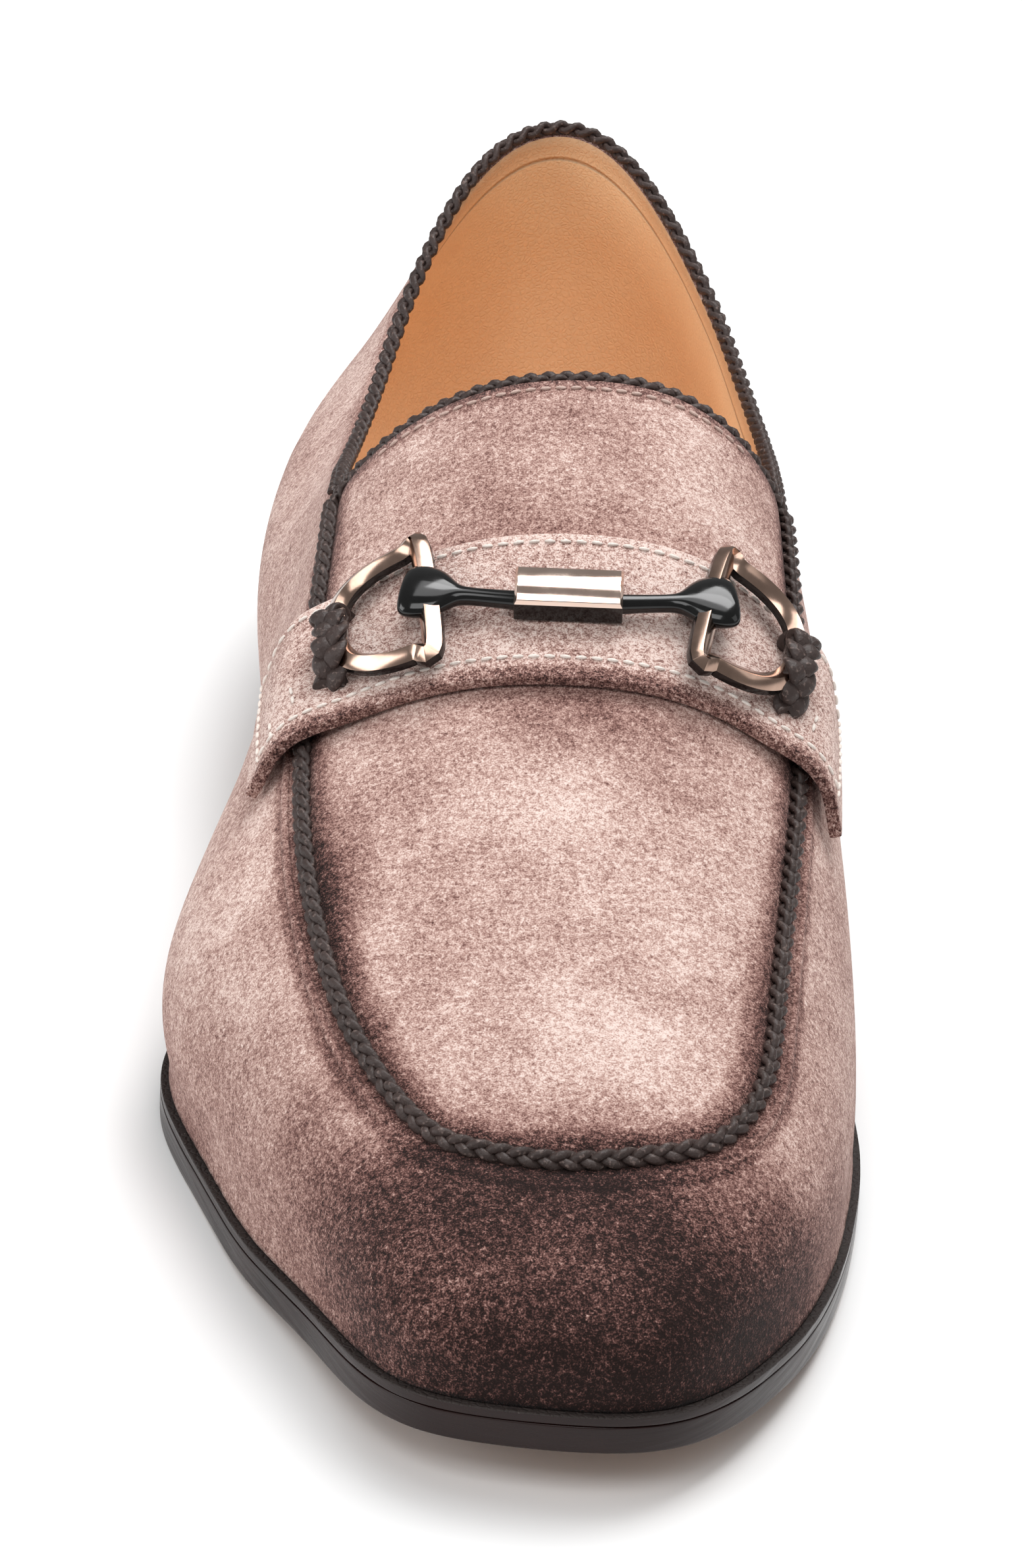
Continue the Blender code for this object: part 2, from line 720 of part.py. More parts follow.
class Barrel:
    """Where the bit's barrel lies on the strap."""

    def __init__(self, strap):
        lane = strap.lane_at(BIT_ALONG)
        crest = strap.share_at(BIT_ACROSS, lane)
        ends = [strap.share_at(BIT_ACROSS + side * RING_OFFSET, lane) for side in (-1, 1)]
        self.level = unit(strap.at(ends[1], lane) - strap.at(ends[0], lane))
        slope = unit(strap.at(crest, SLOPE_LANE) - strap.at(crest, -SLOPE_LANE))
        self.slope = unit(slope - self.level * np.dot(slope, self.level))
        self.up = np.cross(self.level, self.slope)
        bulge = 0.0
        for end in (-0.5, 0.5):
            skin = strap.at(strap.share_at(BIT_ACROSS + end * BARREL_LENGTH, lane), lane)
            bulge = max(bulge, np.dot(skin - strap.at(crest, lane), self.up))
        over = 0.5 * BARREL_THICKNESS + BARREL_CLEARANCE + bulge
        self.centre = strap.at(crest, lane, over)


class Ring:
    """Where one bit ring lies: a D with its straight leg towards the barrel."""

    def __init__(self, strap, side, barrel):
        self.side = side
        lane = strap.lane_at(RING_ALONG)
        leg = strap.share_at(BIT_ACROSS + side * RING_OFFSET, lane)
        bow = strap.share_at(BIT_ACROSS + side * (RING_OFFSET + BOW_REST * RING_WIDTH), lane)
        leg_foot = strap.at(leg, lane, 0.5 * PADDLE_THICKNESS + GAP)
        bow_foot = strap.at(bow, lane, 0.5 * RING_WIRE + GAP)
        middle = 0.5 * (leg + bow)
        self.across = unit(bow_foot - leg_foot)
        along = strap.at(middle, SLOPE_LANE) - strap.at(middle, -SLOPE_LANE)
        self.along = unit(along - self.across * np.dot(along, self.across))
        self.up = unit(np.cross(self.across, self.along)) * side
        self.origin = leg_foot
        for _ in range(LIFT_ROUNDS):
            self.origin = self.origin + self.up * self.lift(strap, barrel)

    def paddle_frame(self, barrel):
        """The paddle's middle and its directions: away from the barrel, along, and up."""
        axis = unit(self.origin - barrel.centre)
        normal = unit(np.cross(axis, self.along)) * self.side
        middle = self.origin - axis * PADDLE_SETBACK * PADDLE_LENGTH
        return middle, (axis, np.cross(normal, axis), normal)

    def point(self, across, along, up=0.0):
        place = self.origin + self.across * across + self.along * along
        return place + self.up * up

    def bow_at(self, along):
        """How far the bow stands from the straight leg at a distance along it."""
        share = min(abs(2.0 * along / RING_LENGTH), 1.0)
        return RING_WIDTH * (1.0 - share**RING_SQUARENESS) ** (1.0 / RING_SQUARENESS)

    def outline(self):
        """The wire's centre line, round the D."""
        points = []
        for i in range(RING_POINTS + 1):
            t = math.pi * (i / RING_POINTS - 0.5)
            across = RING_WIDTH * math.cos(t) ** (2.0 / RING_SQUARENESS)
            swing = abs(math.sin(t)) ** (2.0 / RING_SQUARENESS)
            points.append((across, 0.5 * RING_LENGTH * math.copysign(swing, t)))
        return points

    def lift(self, strap, barrel):
        """How far the ring must rise for its wire and paddle to clear the strap."""
        lowest = [self.point(across, along, -0.5 * RING_WIRE) for across, along in self.outline()]
        middle, (axis, width, normal) = self.paddle_frame(barrel)
        base = middle - normal * 0.5 * PADDLE_THICKNESS
        for across in (-0.5, -0.25, 0.0, 0.25, 0.5):
            for along in (-0.5, 0.0, 0.5):
                corner = axis * across * PADDLE_LENGTH + width * along * PADDLE_WIDTH
                lowest.append(base + corner)
        short = 0.0
        for place in lowest:
            over = np.dot(place - self.skin_under(strap, place), self.up)
            short = max(short, 2.0 * GAP - over)
        return short

    def skin_under(self, strap, place, height=0.0):
        """The strap's outer face, or a height over it, straight under a place in the ring."""
        lane = strap.lane_at(place[1])
        low, high = -1.0, 1.0
        for _ in range(HALVINGS):
            middle = 0.5 * (low + high)
            if self.side * np.dot(strap.at(middle, lane) - place, self.across) < 0.0:
                low = middle
            else:
                high = middle
        return strap.at(low, lane, height)


def place_box(name, size, centre, axes, bevel, collection):
    """A box with rounded edges, turned to three axes."""
    mesh = bmesh.new()
    bmesh.ops.create_cube(mesh, size=1.0)
    bmesh.ops.scale(mesh, vec=size, verts=mesh.verts[:])
    edges = mesh.edges[:]
    bmesh.ops.bevel(mesh, geom=edges, offset=bevel, segments=2, profile=0.5, affect="EDGES")
    turn_mesh(mesh, centre, axes)
    return object_from_bmesh(name, mesh, collection)


def turn_mesh(mesh, centre, axes):
    for vertex in mesh.verts:
        x, y, z = vertex.co
        vertex.co = Vector(centre + axes[0] * x + axes[1] * y + axes[2] * z)
    mesh.normal_update()
    bmesh.ops.recalc_face_normals(mesh, faces=mesh.faces[:])


def rod(name, start, end, diameter, side, collection):
    """A round rod between two points, whose facets are counted from the side direction."""
    mesh = bmesh.new()
    length = np.linalg.norm(end - start)
    radius = 0.5 * diameter
    bmesh.ops.create_cone(
        mesh, cap_ends=True, segments=ROD_SIDES, radius1=radius, radius2=radius, depth=length
    )
    axis = unit(end - start)
    sideways = unit(side - axis * np.dot(side, axis))
    turn_mesh(mesh, 0.5 * (start + end), (sideways, np.cross(axis, sideways), axis))
    return object_from_bmesh(name, mesh, collection)


def combine(obj, other, operation, cutters):
    """Join or cut an object with another, which goes among the cutters."""
    change = obj.modifiers.new(operation.lower(), "BOOLEAN")
    change.operation = operation
    change.solver = "EXACT"
    change.object = other
    for owner in list(other.users_collection):
        owner.objects.unlink(other)
    cutters.objects.link(other)
    other.hide_render = True
    other.display_type = "WIRE"


def make_bit(strap, collection, cutters):
    """Two D-rings joined by a barrel on a bar, each bored paddle turning on a ring's leg."""
    barrel = Barrel(strap)
    rings = [Ring(strap, side, barrel) for side in (-1, 1)]
    centre = barrel.centre
    size = (BARREL_LENGTH, BARREL_WIDTH, BARREL_THICKNESS)
    frame = (barrel.level, barrel.slope, barrel.up)
    paint(place_box("bit_barrel", size, centre, frame, BARREL_BEVEL, collection), ROSE_METAL)

    for ring, word in zip(rings, ("lateral", "medial")):
        corners = [ring.point(across, along) for across, along in ring.outline()]
        paint(make_cord("ring_" + word, corners, RING_WIRE, True, collection), RING_METAL)
        middle, frame = ring.paddle_frame(barrel)
        axis = frame[0]
        tilt = np.linalg.norm(np.cross(axis, barrel.level))
        reach = 0.5 * BARREL_LENGTH + GAP + 0.5 * BAR_DIAMETER * tilt
        near = centre + axis * reach / np.dot(axis, barrel.level * ring.side)
        end = ring.origin - axis * BAR_SEAT * PADDLE_LENGTH
        name = "bit_bar_" + word
        bar = rod(name, near, end, BAR_DIAMETER, ring.along, collection)
        size = (PADDLE_LENGTH, PADDLE_WIDTH, PADDLE_THICKNESS)
        paddle = place_box(name + "_paddle", size, middle, frame, PADDLE_BEVEL, collection)
        combine(bar, paddle, "UNION", cutters)
        bore_ends = [ring.point(0.0, side * PADDLE_WIDTH) for side in (-1, 1)]
        bore_size = RING_WIRE + 2.0 * BORE_CLEARANCE
        bore = rod(name + "_bore", *bore_ends, bore_size, axis, collection)
        combine(bar, bore, "DIFFERENCE", cutters)
        paint(bar, ENAMEL)
    return rings


def make_keeper(strap, ring, word, collection):
    """The leather keeper that holds a ring's bow down on the strap."""
    over = 0.5 * RING_WIRE + 2.0 * GAP
    rows = []
    for lane_step in range(KEEPER_LANES + 1):
        offset = (lane_step / KEEPER_LANES - 0.5) * KEEPER_WIDTH
        row = []
        for step in range(KEEPER_STEPS + 1):
            away = (KEEPER_INSIDE + KEEPER_OUTSIDE) * step / KEEPER_STEPS - KEEPER_INSIDE
            raised = ring.point(ring.bow_at(offset) + away, offset, over)
            low = ring.skin_under(strap, raised, 2.0 * GAP)
            foot = (KEEPER_OUTSIDE if away > 0.0 else KEEPER_INSIDE) - KEEPER_LIP
            fall = (abs(away) - KEEPER_CROWN) / (foot - KEEPER_CROWN)
            fall = min(max(fall, 0.0), 1.0)
            share = fall * fall * (3.0 - 2.0 * fall)
            row.append(raised + (low - raised) * share)
        rows.append(row if ring.side > 0 else row[::-1])
    obj = object_from_bmesh("keeper_" + word, grid_surface(rows), collection)
    thicken(obj, KEEPER_THICKNESS)
    paint(obj, BRAIDED_CORD)


def clear_scene():
    for obj in list(bpy.data.objects):
        bpy.data.objects.remove(obj)


def build():
    clear_scene()
    collection = bpy.data.collections.new(OBJECT_NAME)
    cutters = bpy.data.collections.new("cutters")
    bpy.context.scene.collection.children.link(collection)
    bpy.context.scene.collection.children.link(cutters)
    last = Last()
    make_sole(last, collection)
    tongue_edge = make_upper(last, collection)
    apron_path = make_apron_braid(last, tongue_edge, collection)
    make_collar_braid(last, apron_path, collection)
    strap = Strap(last)
    make_strap(strap, collection)
    rings = make_bit(strap, collection, cutters)
    make_keeper(strap, rings[0], "lateral", collection)
    make_keeper(strap, rings[1], "medial", collection)


build()
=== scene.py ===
"""The look of a suede bit loafer for the right foot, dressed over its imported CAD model."""
import math
import random

import bmesh
import bpy
import numpy as np
from mathutils import Matrix, Vector
from mathutils.bvhtree import BVHTree
from mathutils.kdtree import KDTree


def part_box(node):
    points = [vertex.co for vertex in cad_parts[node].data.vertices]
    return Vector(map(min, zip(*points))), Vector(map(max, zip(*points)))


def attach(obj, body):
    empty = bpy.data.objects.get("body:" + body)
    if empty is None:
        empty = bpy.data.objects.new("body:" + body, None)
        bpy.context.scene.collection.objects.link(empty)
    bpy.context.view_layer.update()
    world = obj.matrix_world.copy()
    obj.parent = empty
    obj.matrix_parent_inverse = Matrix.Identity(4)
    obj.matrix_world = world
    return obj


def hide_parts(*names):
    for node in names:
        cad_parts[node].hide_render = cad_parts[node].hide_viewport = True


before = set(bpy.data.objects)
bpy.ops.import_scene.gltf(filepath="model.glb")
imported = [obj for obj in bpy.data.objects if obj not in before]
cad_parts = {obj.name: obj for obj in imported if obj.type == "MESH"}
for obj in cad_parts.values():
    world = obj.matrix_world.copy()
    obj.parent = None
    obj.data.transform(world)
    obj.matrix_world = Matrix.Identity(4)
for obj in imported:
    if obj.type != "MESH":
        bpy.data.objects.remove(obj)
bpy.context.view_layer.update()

random.seed(11)
bpy.ops.object.select_all(action="DESELECT")


# Outsole
# A leather sole cut to the last's outline and dyed dark brown. Its side is burnished with wax
# until it shines, its edges are slightly rounded, and its underside is left natural leather.

def pick(piece):
    """Make one object the only selected and active one."""
    bpy.ops.object.select_all(action="DESELECT")
    piece.select_set(True)
    bpy.context.view_layer.objects.active = piece


def take(node, name, merge=0.00001):
    """A copy of a CAD solid, its loose triangles merged to whole faces, ready to be shaped."""
    piece = bpy.data.objects.new(name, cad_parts[node].data.copy())
    bpy.context.collection.objects.link(piece)
    piece.data.materials.clear()
    pick(piece)
    bpy.ops.mesh.customdata_custom_splitnormals_clear()
    bpy.ops.object.mode_set(mode="EDIT")
    bpy.ops.mesh.select_all(action="SELECT")
    bpy.ops.mesh.remove_doubles(threshold=merge)
    bpy.ops.object.mode_set(mode="OBJECT")
    return piece


def apply_modifier(piece, kind, **settings):
    """Add one modifier, set it and apply it."""
    pick(piece)
    modifier = piece.modifiers.new(kind.lower(), kind)
    for key, value in settings.items():
        setattr(modifier, key, value)
    bpy.ops.object.modifier_apply(modifier=modifier.name)


def subdivide(piece, levels):
    apply_modifier(piece, "SUBSURF", levels=levels, render_levels=levels)


def take_plate(node, name):
    """A copy of a flat CAD plate, with the triangles that lie in one plane joined."""
    piece = take(node, name, merge=0.0005)
    bpy.ops.object.mode_set(mode="EDIT")
    bpy.ops.mesh.select_all(action="SELECT")
    bpy.ops.mesh.dissolve_limited(angle_limit=math.radians(1.0))
    bpy.ops.object.mode_set(mode="OBJECT")
    return piece


def round_edges(piece, radius):
    """Round a solid's sharp edges."""
    apply_modifier(
        piece,
        "BEVEL",
        width=radius,
        segments=2,
        limit_method="ANGLE",
        angle_limit=math.radians(50.0),
        use_clamp_overlap=False,
    )


def shade(piece, angle):
    """Shade a piece smooth, apart from its edges that are sharper than an angle."""
    pick(piece)
    bpy.ops.object.shade_smooth_by_angle(angle=math.radians(angle))


def add_node(tree, kind, values=None, **settings):
    """Add a shader node; a value that is a socket is linked, any other is set."""
    node = tree.nodes.new(kind)
    for key, value in settings.items():
        setattr(node, key, value)
    for socket, value in (values or {}).items():
        if isinstance(value, bpy.types.NodeSocket):
            tree.links.new(value, node.inputs[socket])
        else:
            node.inputs[socket].default_value = value
    return node


def new_material(name, **constants):
    """A material with its shader's constants set; returns it, its tree and its shader."""
    material = bpy.data.materials.new(name)
    material.use_nodes = True
    tree = material.node_tree
    shader = tree.nodes["Principled BSDF"]
    for socket, value in constants.items():
        shader.inputs[socket.replace("_", " ")].default_value = value
    return material, tree, shader


def blend_colour(tree, share, first, second):
    """Mix two colours by a share between 0 and 1."""
    values = {0: share, 6: first, 7: second}
    return add_node(tree, "ShaderNodeMix", values, data_type="RGBA").outputs[2]


def map_range(tree, value, low, high, to_low=0.0, to_high=1.0):
    """Send a range of values to another, clamped, with soft ends."""
    values = {0: value, 1: low, 2: high, 3: to_low, 4: to_high}
    node = add_node(tree, "ShaderNodeMapRange", values, interpolation_type="SMOOTHSTEP")
    return node.outputs[0]


def calculate(tree, operation, first, second=0.0):
    node = add_node(tree, "ShaderNodeMath", {0: first, 1: second}, operation=operation)
    return node.outputs[0]


def object_place(tree):
    return add_node(tree, "ShaderNodeTexCoord").outputs["Object"]


def noise(tree, place, scale, detail=3.0, roughness=0.5, distortion=0.0):
    values = {"Vector": place, "Scale": scale, "Detail": detail, "Roughness": roughness}
    values["Distortion"] = distortion
    return add_node(tree, "ShaderNodeTexNoise", values).outputs[0]


def make_group(name, inputs, outputs):
    """A node group with named sockets; returns its tree, its input node and its output node."""
    group = bpy.data.node_groups.new(name, "ShaderNodeTree")
    for socket, kind in inputs:
        group.interface.new_socket(socket, in_out="INPUT", socket_type="NodeSocket" + kind)
    for socket, kind in outputs:
        group.interface.new_socket(socket, in_out="OUTPUT", socket_type="NodeSocket" + kind)
    return group, group.nodes.new("NodeGroupInput"), group.nodes.new("NodeGroupOutput")


# Pores and creases of smooth leather: a height and a colour mask
grain_group, given, result = make_group(
    "leather_grain",
    (("Vector", "Vector"), ("Scale", "Float")),
    (("Height", "Float"), ("Mottle", "Float")),
)
cells = add_node(
    grain_group,
    "ShaderNodeTexVoronoi",
    {"Vector": given.outputs["Vector"], "Scale": given.outputs["Scale"]},
    feature="DISTANCE_TO_EDGE",
)
pebbles = map_range(grain_group, cells.outputs["Distance"], 0.0, 0.25)
fine = noise(grain_group, given.outputs["Vector"], 2600.0, 4.0)
height = calculate(grain_group, "ADD", pebbles, calculate(grain_group, "MULTIPLY", fine, 0.6))
clouds = noise(grain_group, given.outputs["Vector"], 70.0, 5.0, 0.6)
grain_group.links.new(height, result.inputs["Height"])
grain_group.links.new(clouds, result.inputs["Mottle"])


def grain(tree, place, scale):
    """Leather grain of one scale: its height and its mottle."""
    values = {"Vector": place, "Scale": scale}
    node = add_node(tree, "ShaderNodeGroup", values, node_tree=grain_group)
    return node.outputs["Height"], node.outputs["Mottle"]


def add_bump(tree, shader, height, distance, strength=1.0):
    values = {"Height": height, "Distance": distance, "Strength": strength}
    bump = add_node(tree, "ShaderNodeBump", values)
    tree.links.new(bump.outputs[0], shader.inputs["Normal"])


def settle(piece, slot, *nodes):
    """Say what a finished piece rides on and hide the CAD nodes it stands for; its material slot is
    not used.
    """
    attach(piece, "root")
    if nodes:
        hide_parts(*nodes)


sole_edge, tree, shader = new_material("burnished_sole_edge", IOR=1.37)
place = object_place(tree)
_, mottle = grain(tree, place, 420.0)
colour = blend_colour(tree, mottle, (0.004, 0.0014, 0.0012, 1.0), (0.021, 0.0058, 0.0045, 1.0))
tree.links.new(colour, shader.inputs["Base Color"])
stretched = add_node(tree, "ShaderNodeMapping", {"Vector": place, "Scale": (60.0, 60.0, 900.0)})
layers = noise(tree, stretched.outputs[0], 1.0, 2.0)
rough = map_range(tree, layers, 0.3, 0.7, 0.20, 0.34)
tree.links.new(rough, shader.inputs["Roughness"])
add_bump(tree, shader, layers, 0.00012)

sole_underside, tree, shader = new_material("natural_sole_leather", Roughness=0.5, IOR=1.45)
place = object_place(tree)
height, mottle = grain(tree, place, 500.0)
colour = blend_colour(tree, mottle, (0.20, 0.105, 0.055, 1.0), (0.36, 0.20, 0.11, 1.0))
tree.links.new(colour, shader.inputs["Base Color"])
add_bump(tree, shader, height, 0.00010)

outsole_edge_radius = 0.0003
facing_down = -0.8
outsole = take_plate("outsole", "outsole_leather")
round_edges(outsole, outsole_edge_radius)
subdivide(outsole, 2)
outsole.data.materials.append(sole_edge)
outsole.data.materials.append(sole_underside)
for face in outsole.data.polygons:
    face.material_index = int(face.normal.z < facing_down)
shade(outsole, 60.0)
settle(outsole, "sole_leather", "outsole")


# Midsole
# The thin leather layer between upper and outsole. It stands out past the upper all round as a
# narrow ledge, dyed almost black and left matte, with a little dust in its grain. Its side is
# trimmed flush with the outsole's and burnished with it, and it lies on the outsole with no gap.

def carry_edge_out(piece, reach, drop=0.0):
    """Carry a plate's side outward, and its underside down."""
    tilted = 0.2
    for vertex in piece.data.vertices:
        level_way = Vector((vertex.normal.x, vertex.normal.y, 0.0))
        if level_way.length > tilted:
            vertex.co += level_way.normalized() * reach
        if vertex.normal.z < -tilted:
            vertex.co.z -= drop


rim, tree, shader = new_material("matte_rim_leather", Roughness=0.72)
place = object_place(tree)
height, mottle = grain(tree, place, 900.0)
specks = noise(tree, place, 1900.0, 2.0)
dust = map_range(tree, specks, 0.70, 0.80, 0.0, 0.35)
colour = blend_colour(tree, mottle, (0.012, 0.007, 0.006, 1.0), (0.030, 0.019, 0.016, 1.0))
colour = blend_colour(tree, dust, colour, (0.30, 0.27, 0.25, 1.0))
tree.links.new(colour, shader.inputs["Base Color"])
add_bump(tree, shader, height, 0.00015)

midsole_flush = 0.00035
midsole_drop = 0.00028
midsole_edge_radius = 0.00030
facing_up = 0.2
midsole = take_plate("midsole", "midsole_rim")
carry_edge_out(midsole, midsole_flush, midsole_drop)
round_edges(midsole, midsole_edge_radius)
subdivide(midsole, 2)
midsole.data.materials.append(rim)
midsole.data.materials.append(sole_edge)
for face in midsole.data.polygons:
    face.material_index = int(face.normal.z < facing_up)
shade(midsole, 60.0)
settle(midsole, "rim_leather", "midsole")


# Heel
# Leather lifts stacked and trimmed to the sole's outline, with a rubber top piece below. The
# joints between the lifts show as fine lines in the waxed side.

top_piece_height = 0.0062
lift_height = 0.0044
heel_edge_radius = 0.0007
heel_side, tree, shader = new_material(
    "stacked_heel_leather", Coat_Weight=0.4, Coat_Roughness=0.15, Roughness=0.33
)
place = object_place(tree)
_, mottle = grain(tree, place, 420.0)
level = add_node(tree, "ShaderNodeSeparateXYZ", {0: place}).outputs[2]
share = calculate(tree, "FRACT", calculate(tree, "DIVIDE", level, lift_height))
from_joint = calculate(tree, "ABSOLUTE", calculate(tree, "SUBTRACT", share, 0.5))
joint = map_range(tree, from_joint, 0.0, 0.05)
colour = blend_colour(tree, mottle, (0.026, 0.012, 0.009, 1.0), (0.075, 0.034, 0.024, 1.0))
colour = blend_colour(tree, joint, (0.008, 0.005, 0.004, 1.0), colour)
above = map_range(tree, level, top_piece_height - 0.0001, top_piece_height + 0.0001)
colour = blend_colour(tree, above, (0.012, 0.011, 0.011, 1.0), colour)
tree.links.new(colour, shader.inputs["Base Color"])
add_bump(tree, shader, joint, 0.00025)

heel = take_plate("heel", "heel_stack")
round_edges(heel, heel_edge_radius)
subdivide(heel, 2)
heel.data.materials.append(heel_side)
shade(heel, 60.0)
settle(heel, "heel_leather", "heel")


# Insole
# A leather sock glued over the footbed, tan and lightly polished by wear. Its edge runs on under
# the wall's lining, which is cut from the same tan leather and sewn a little below the collar.

def attribute(tree, name):
    """A value that each vertex of a mesh carries."""
    return add_node(tree, "ShaderNodeAttribute", attribute_name=name).outputs["Fac"]


lining, tree, shader = new_material("tan_lining_leather", Roughness=0.5)
place = object_place(tree)
height, mottle = grain(tree, place, 1100.0)
# painted light: the lining's tan is set brighter than the insole's, the same leather, to make up
# for the shade inside the shoe
colour = blend_colour(tree, mottle, (0.90, 0.560, 0.305, 1.0), (0.98, 0.71, 0.440, 1.0))
collar_near = attribute(tree, "collar_near")
worn = map_range(tree, collar_near, 0.003, 0.0085, 0.5, 0.0)
colour = blend_colour(tree, worn, colour, (0.52, 0.25, 0.11, 1.0))
lining_seam = 0.0072
fold = calculate(tree, "ABSOLUTE", calculate(tree, "SUBTRACT", collar_near, lining_seam))
seam_line = map_range(tree, fold, 0.0, 0.0006, 1.0, 0.0)
stained = calculate(tree, "MULTIPLY", seam_line, 0.55)
colour = blend_colour(tree, stained, colour, (0.22, 0.09, 0.035, 1.0))
tree.links.new(colour, shader.inputs["Base Color"])
rough = map_range(tree, mottle, 0.3, 0.7, 0.42, 0.58)
tree.links.new(rough, shader.inputs["Roughness"])
dent = calculate(tree, "SUBTRACT", height, calculate(tree, "MULTIPLY", seam_line, 4.0))
add_bump(tree, shader, dent, 0.00007)

insole_leather, tree, shader = new_material("tan_insole_leather", Roughness=0.45)
place = object_place(tree)
height, mottle = grain(tree, place, 1000.0)
colour = blend_colour(tree, mottle, (0.76, 0.43, 0.22, 1.0), (0.90, 0.56, 0.32, 1.0))
tree.links.new(colour, shader.inputs["Base Color"])
add_bump(tree, shader, height, 0.00008)

insole_tuck = 0.0013
insole_edge_radius = 0.0008
insole = take_plate("insole", "insole_sock")
carry_edge_out(insole, insole_tuck)
round_edges(insole, insole_edge_radius)
subdivide(insole, 1)
insole.data.materials.append(insole_leather)
shade(insole, 60.0)
settle(insole, "lining_leather", "insole")


# Upper
# Mauve-brown suede, lasted over the foot and lined with tan leather. It is burnished by hand:
# nearly black over the toe, reddish brown along the seams, and brushed pale on the apron.

def make_quads(piece):
    """Join a CAD solid's triangles in pairs, so that it can be subdivided."""
    pick(piece)
    bpy.ops.object.mode_set(mode="EDIT")
    bpy.ops.mesh.select_all(action="SELECT")
    widest = math.radians(60.0)
    bpy.ops.mesh.tris_convert_to_quads(face_threshold=widest, shape_threshold=widest)
    bpy.ops.object.mode_set(mode="OBJECT")


def crease_sharp_edges(piece, angle, amount):
    """Hold a solid's sharp edges in place while it is subdivided."""
    shape = bmesh.new()
    shape.from_mesh(piece.data)
    layer = shape.edges.layers.float.new("crease_edge")
    for edge in shape.edges:
        if edge.calc_face_angle(0.0) > math.radians(angle):
            edge[layer] = amount
    shape.to_mesh(piece.data)
    shape.free()


def cord_line(node, diameter):
    """The line that a round CAD cord follows, found from its skin, in order."""
    skin = bmesh.new()
    skin.from_mesh(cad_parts[node].data)
    bmesh.ops.remove_doubles(skin, verts=skin.verts[:], dist=0.00001)
    skin.normal_update()
    groups = []
    for vertex in skin.verts:
        centre = vertex.co - vertex.normal * 0.5 * diameter
        for group in groups:
            if (group[0] - centre).length < 0.25 * diameter:
                group.append(centre)
                break
        else:
            groups.append([centre])
    skin.free()
    spots = [sum(group, Vector()) / len(group) for group in groups if len(group) > 3]
    line = [min(spots, key=lambda spot: spot.y)]
    spots.remove(line[0])
    while spots:
        following = min(spots, key=lambda spot: (spot - line[-1]).length)
        spots.remove(following)
        line.append(following)
    return line


def curve_between(a, b, c, d, t):
    """A place at a share t from b to c, on a smooth curve through all four points."""
    bend = 2 * a - 5 * b + 4 * c - d
    twist = 3 * b - a - 3 * c + d
    return 0.5 * (2 * b + (c - a) * t + bend * t**2 + twist * t**3)


def even_line(points, spacing, closed):
    """A smooth line through the points, with places at equal spacing along it."""
    dense = []
    count = len(points)
    steps = 12
    for i in range(count if closed else count - 1):
        picks = range(i - 1, i + 3)
        if closed:
            around = [points[k % count] for k in picks]
        else:
            around = [points[min(max(k, 0), count - 1)] for k in picks]
        dense += [curve_between(*around, step / steps) for step in range(steps)]
    dense.append(points[0] if closed else points[-1])
    dense = np.array([tuple(point) for point in dense])
    run = np.concatenate(([0.0], np.cumsum(np.linalg.norm(np.diff(dense, axis=0), axis=1))))
    number = max(int(round(run[-1] / spacing)), 2)
    stops = np.linspace(0.0, run[-1], number + 1)
    even = np.stack([np.interp(stops, run, dense[:, k]) for k in range(3)], 1)
    return even[:-1] if closed else even


def foot_axis(point):
    """A place on the foot's axis, from which the shoe's surfaces face away."""
    along = min(max(point[1], -0.095), 0.105)
    stations = (-0.12, -0.04, 0.05, 0.13)
    across = np.interp(along, stations, (0.010, 0.006, 0.001, -0.003))
    up = np.interp(along, stations, (0.016, 0.026, 0.040, 0.045))
    return np.array((across, along, up))


apron_cord = 0.0027
collar_cord = 0.0031
seam_step = 0.0010
apron_line = even_line(cord_line("apron_braid", apron_cord), seam_step, True)
collar_line = even_line(cord_line("collar_braid", collar_cord), seam_step, False)

upper = take("upper", "suede_upper")
make_quads(upper)
crease_sharp_edges(upper, 62.0, 0.85)
subdivide(upper, 2)

# The lasting: the foot of the outer face is drawn out to the sole's ledge
ledge = 0.0011
lasting_height = 0.0150
lasting_reach = 0.016
lasting_fade = 0.008
lasting_pull = 0.0045
lasting_top = 0.045
rim_tree = KDTree(len(midsole.data.vertices))
rim_places = [v for v in midsole.data.vertices if abs(v.normal.z) < 0.8]
for index, vertex in enumerate(rim_places):
    rim_tree.insert((vertex.co.x, vertex.co.y, 0.0), index)
rim_tree.balance()
midsole_skin = BVHTree.FromPolygons(
    [v.co for v in midsole.data.vertices], [tuple(face.vertices) for face in midsole.data.polygons]
)
down = Vector((0.0, 0.0, -1.0))
for vertex in upper.data.vertices:
    spot, _, reach = rim_tree.find((vertex.co.x, vertex.co.y, 0.0))
    if not ledge < reach < lasting_reach or vertex.co.z > lasting_top:
        continue
    below = midsole_skin.ray_cast(vertex.co + Vector((0.0, 0.0, 0.05)), down)[0]
    away = vertex.co - Vector(foot_axis(vertex.co))
    if below is None or away.dot(vertex.normal) < 0.0:
        continue
    share = 1.0 - min(max((vertex.co.z - below.z) / lasting_height, 0.0), 1.0)
    if share > 0.0:
        outward = Vector((spot.x - vertex.co.x, spot.y - vertex.co.y, 0.0)).normalized()
        fade = min(1.0, (lasting_reach - reach) / lasting_fade)
        vertex.co += outward * min(reach - ledge, lasting_pull) * share**1.5 * fade
upper.data.update()
shade(upper, 180.0)


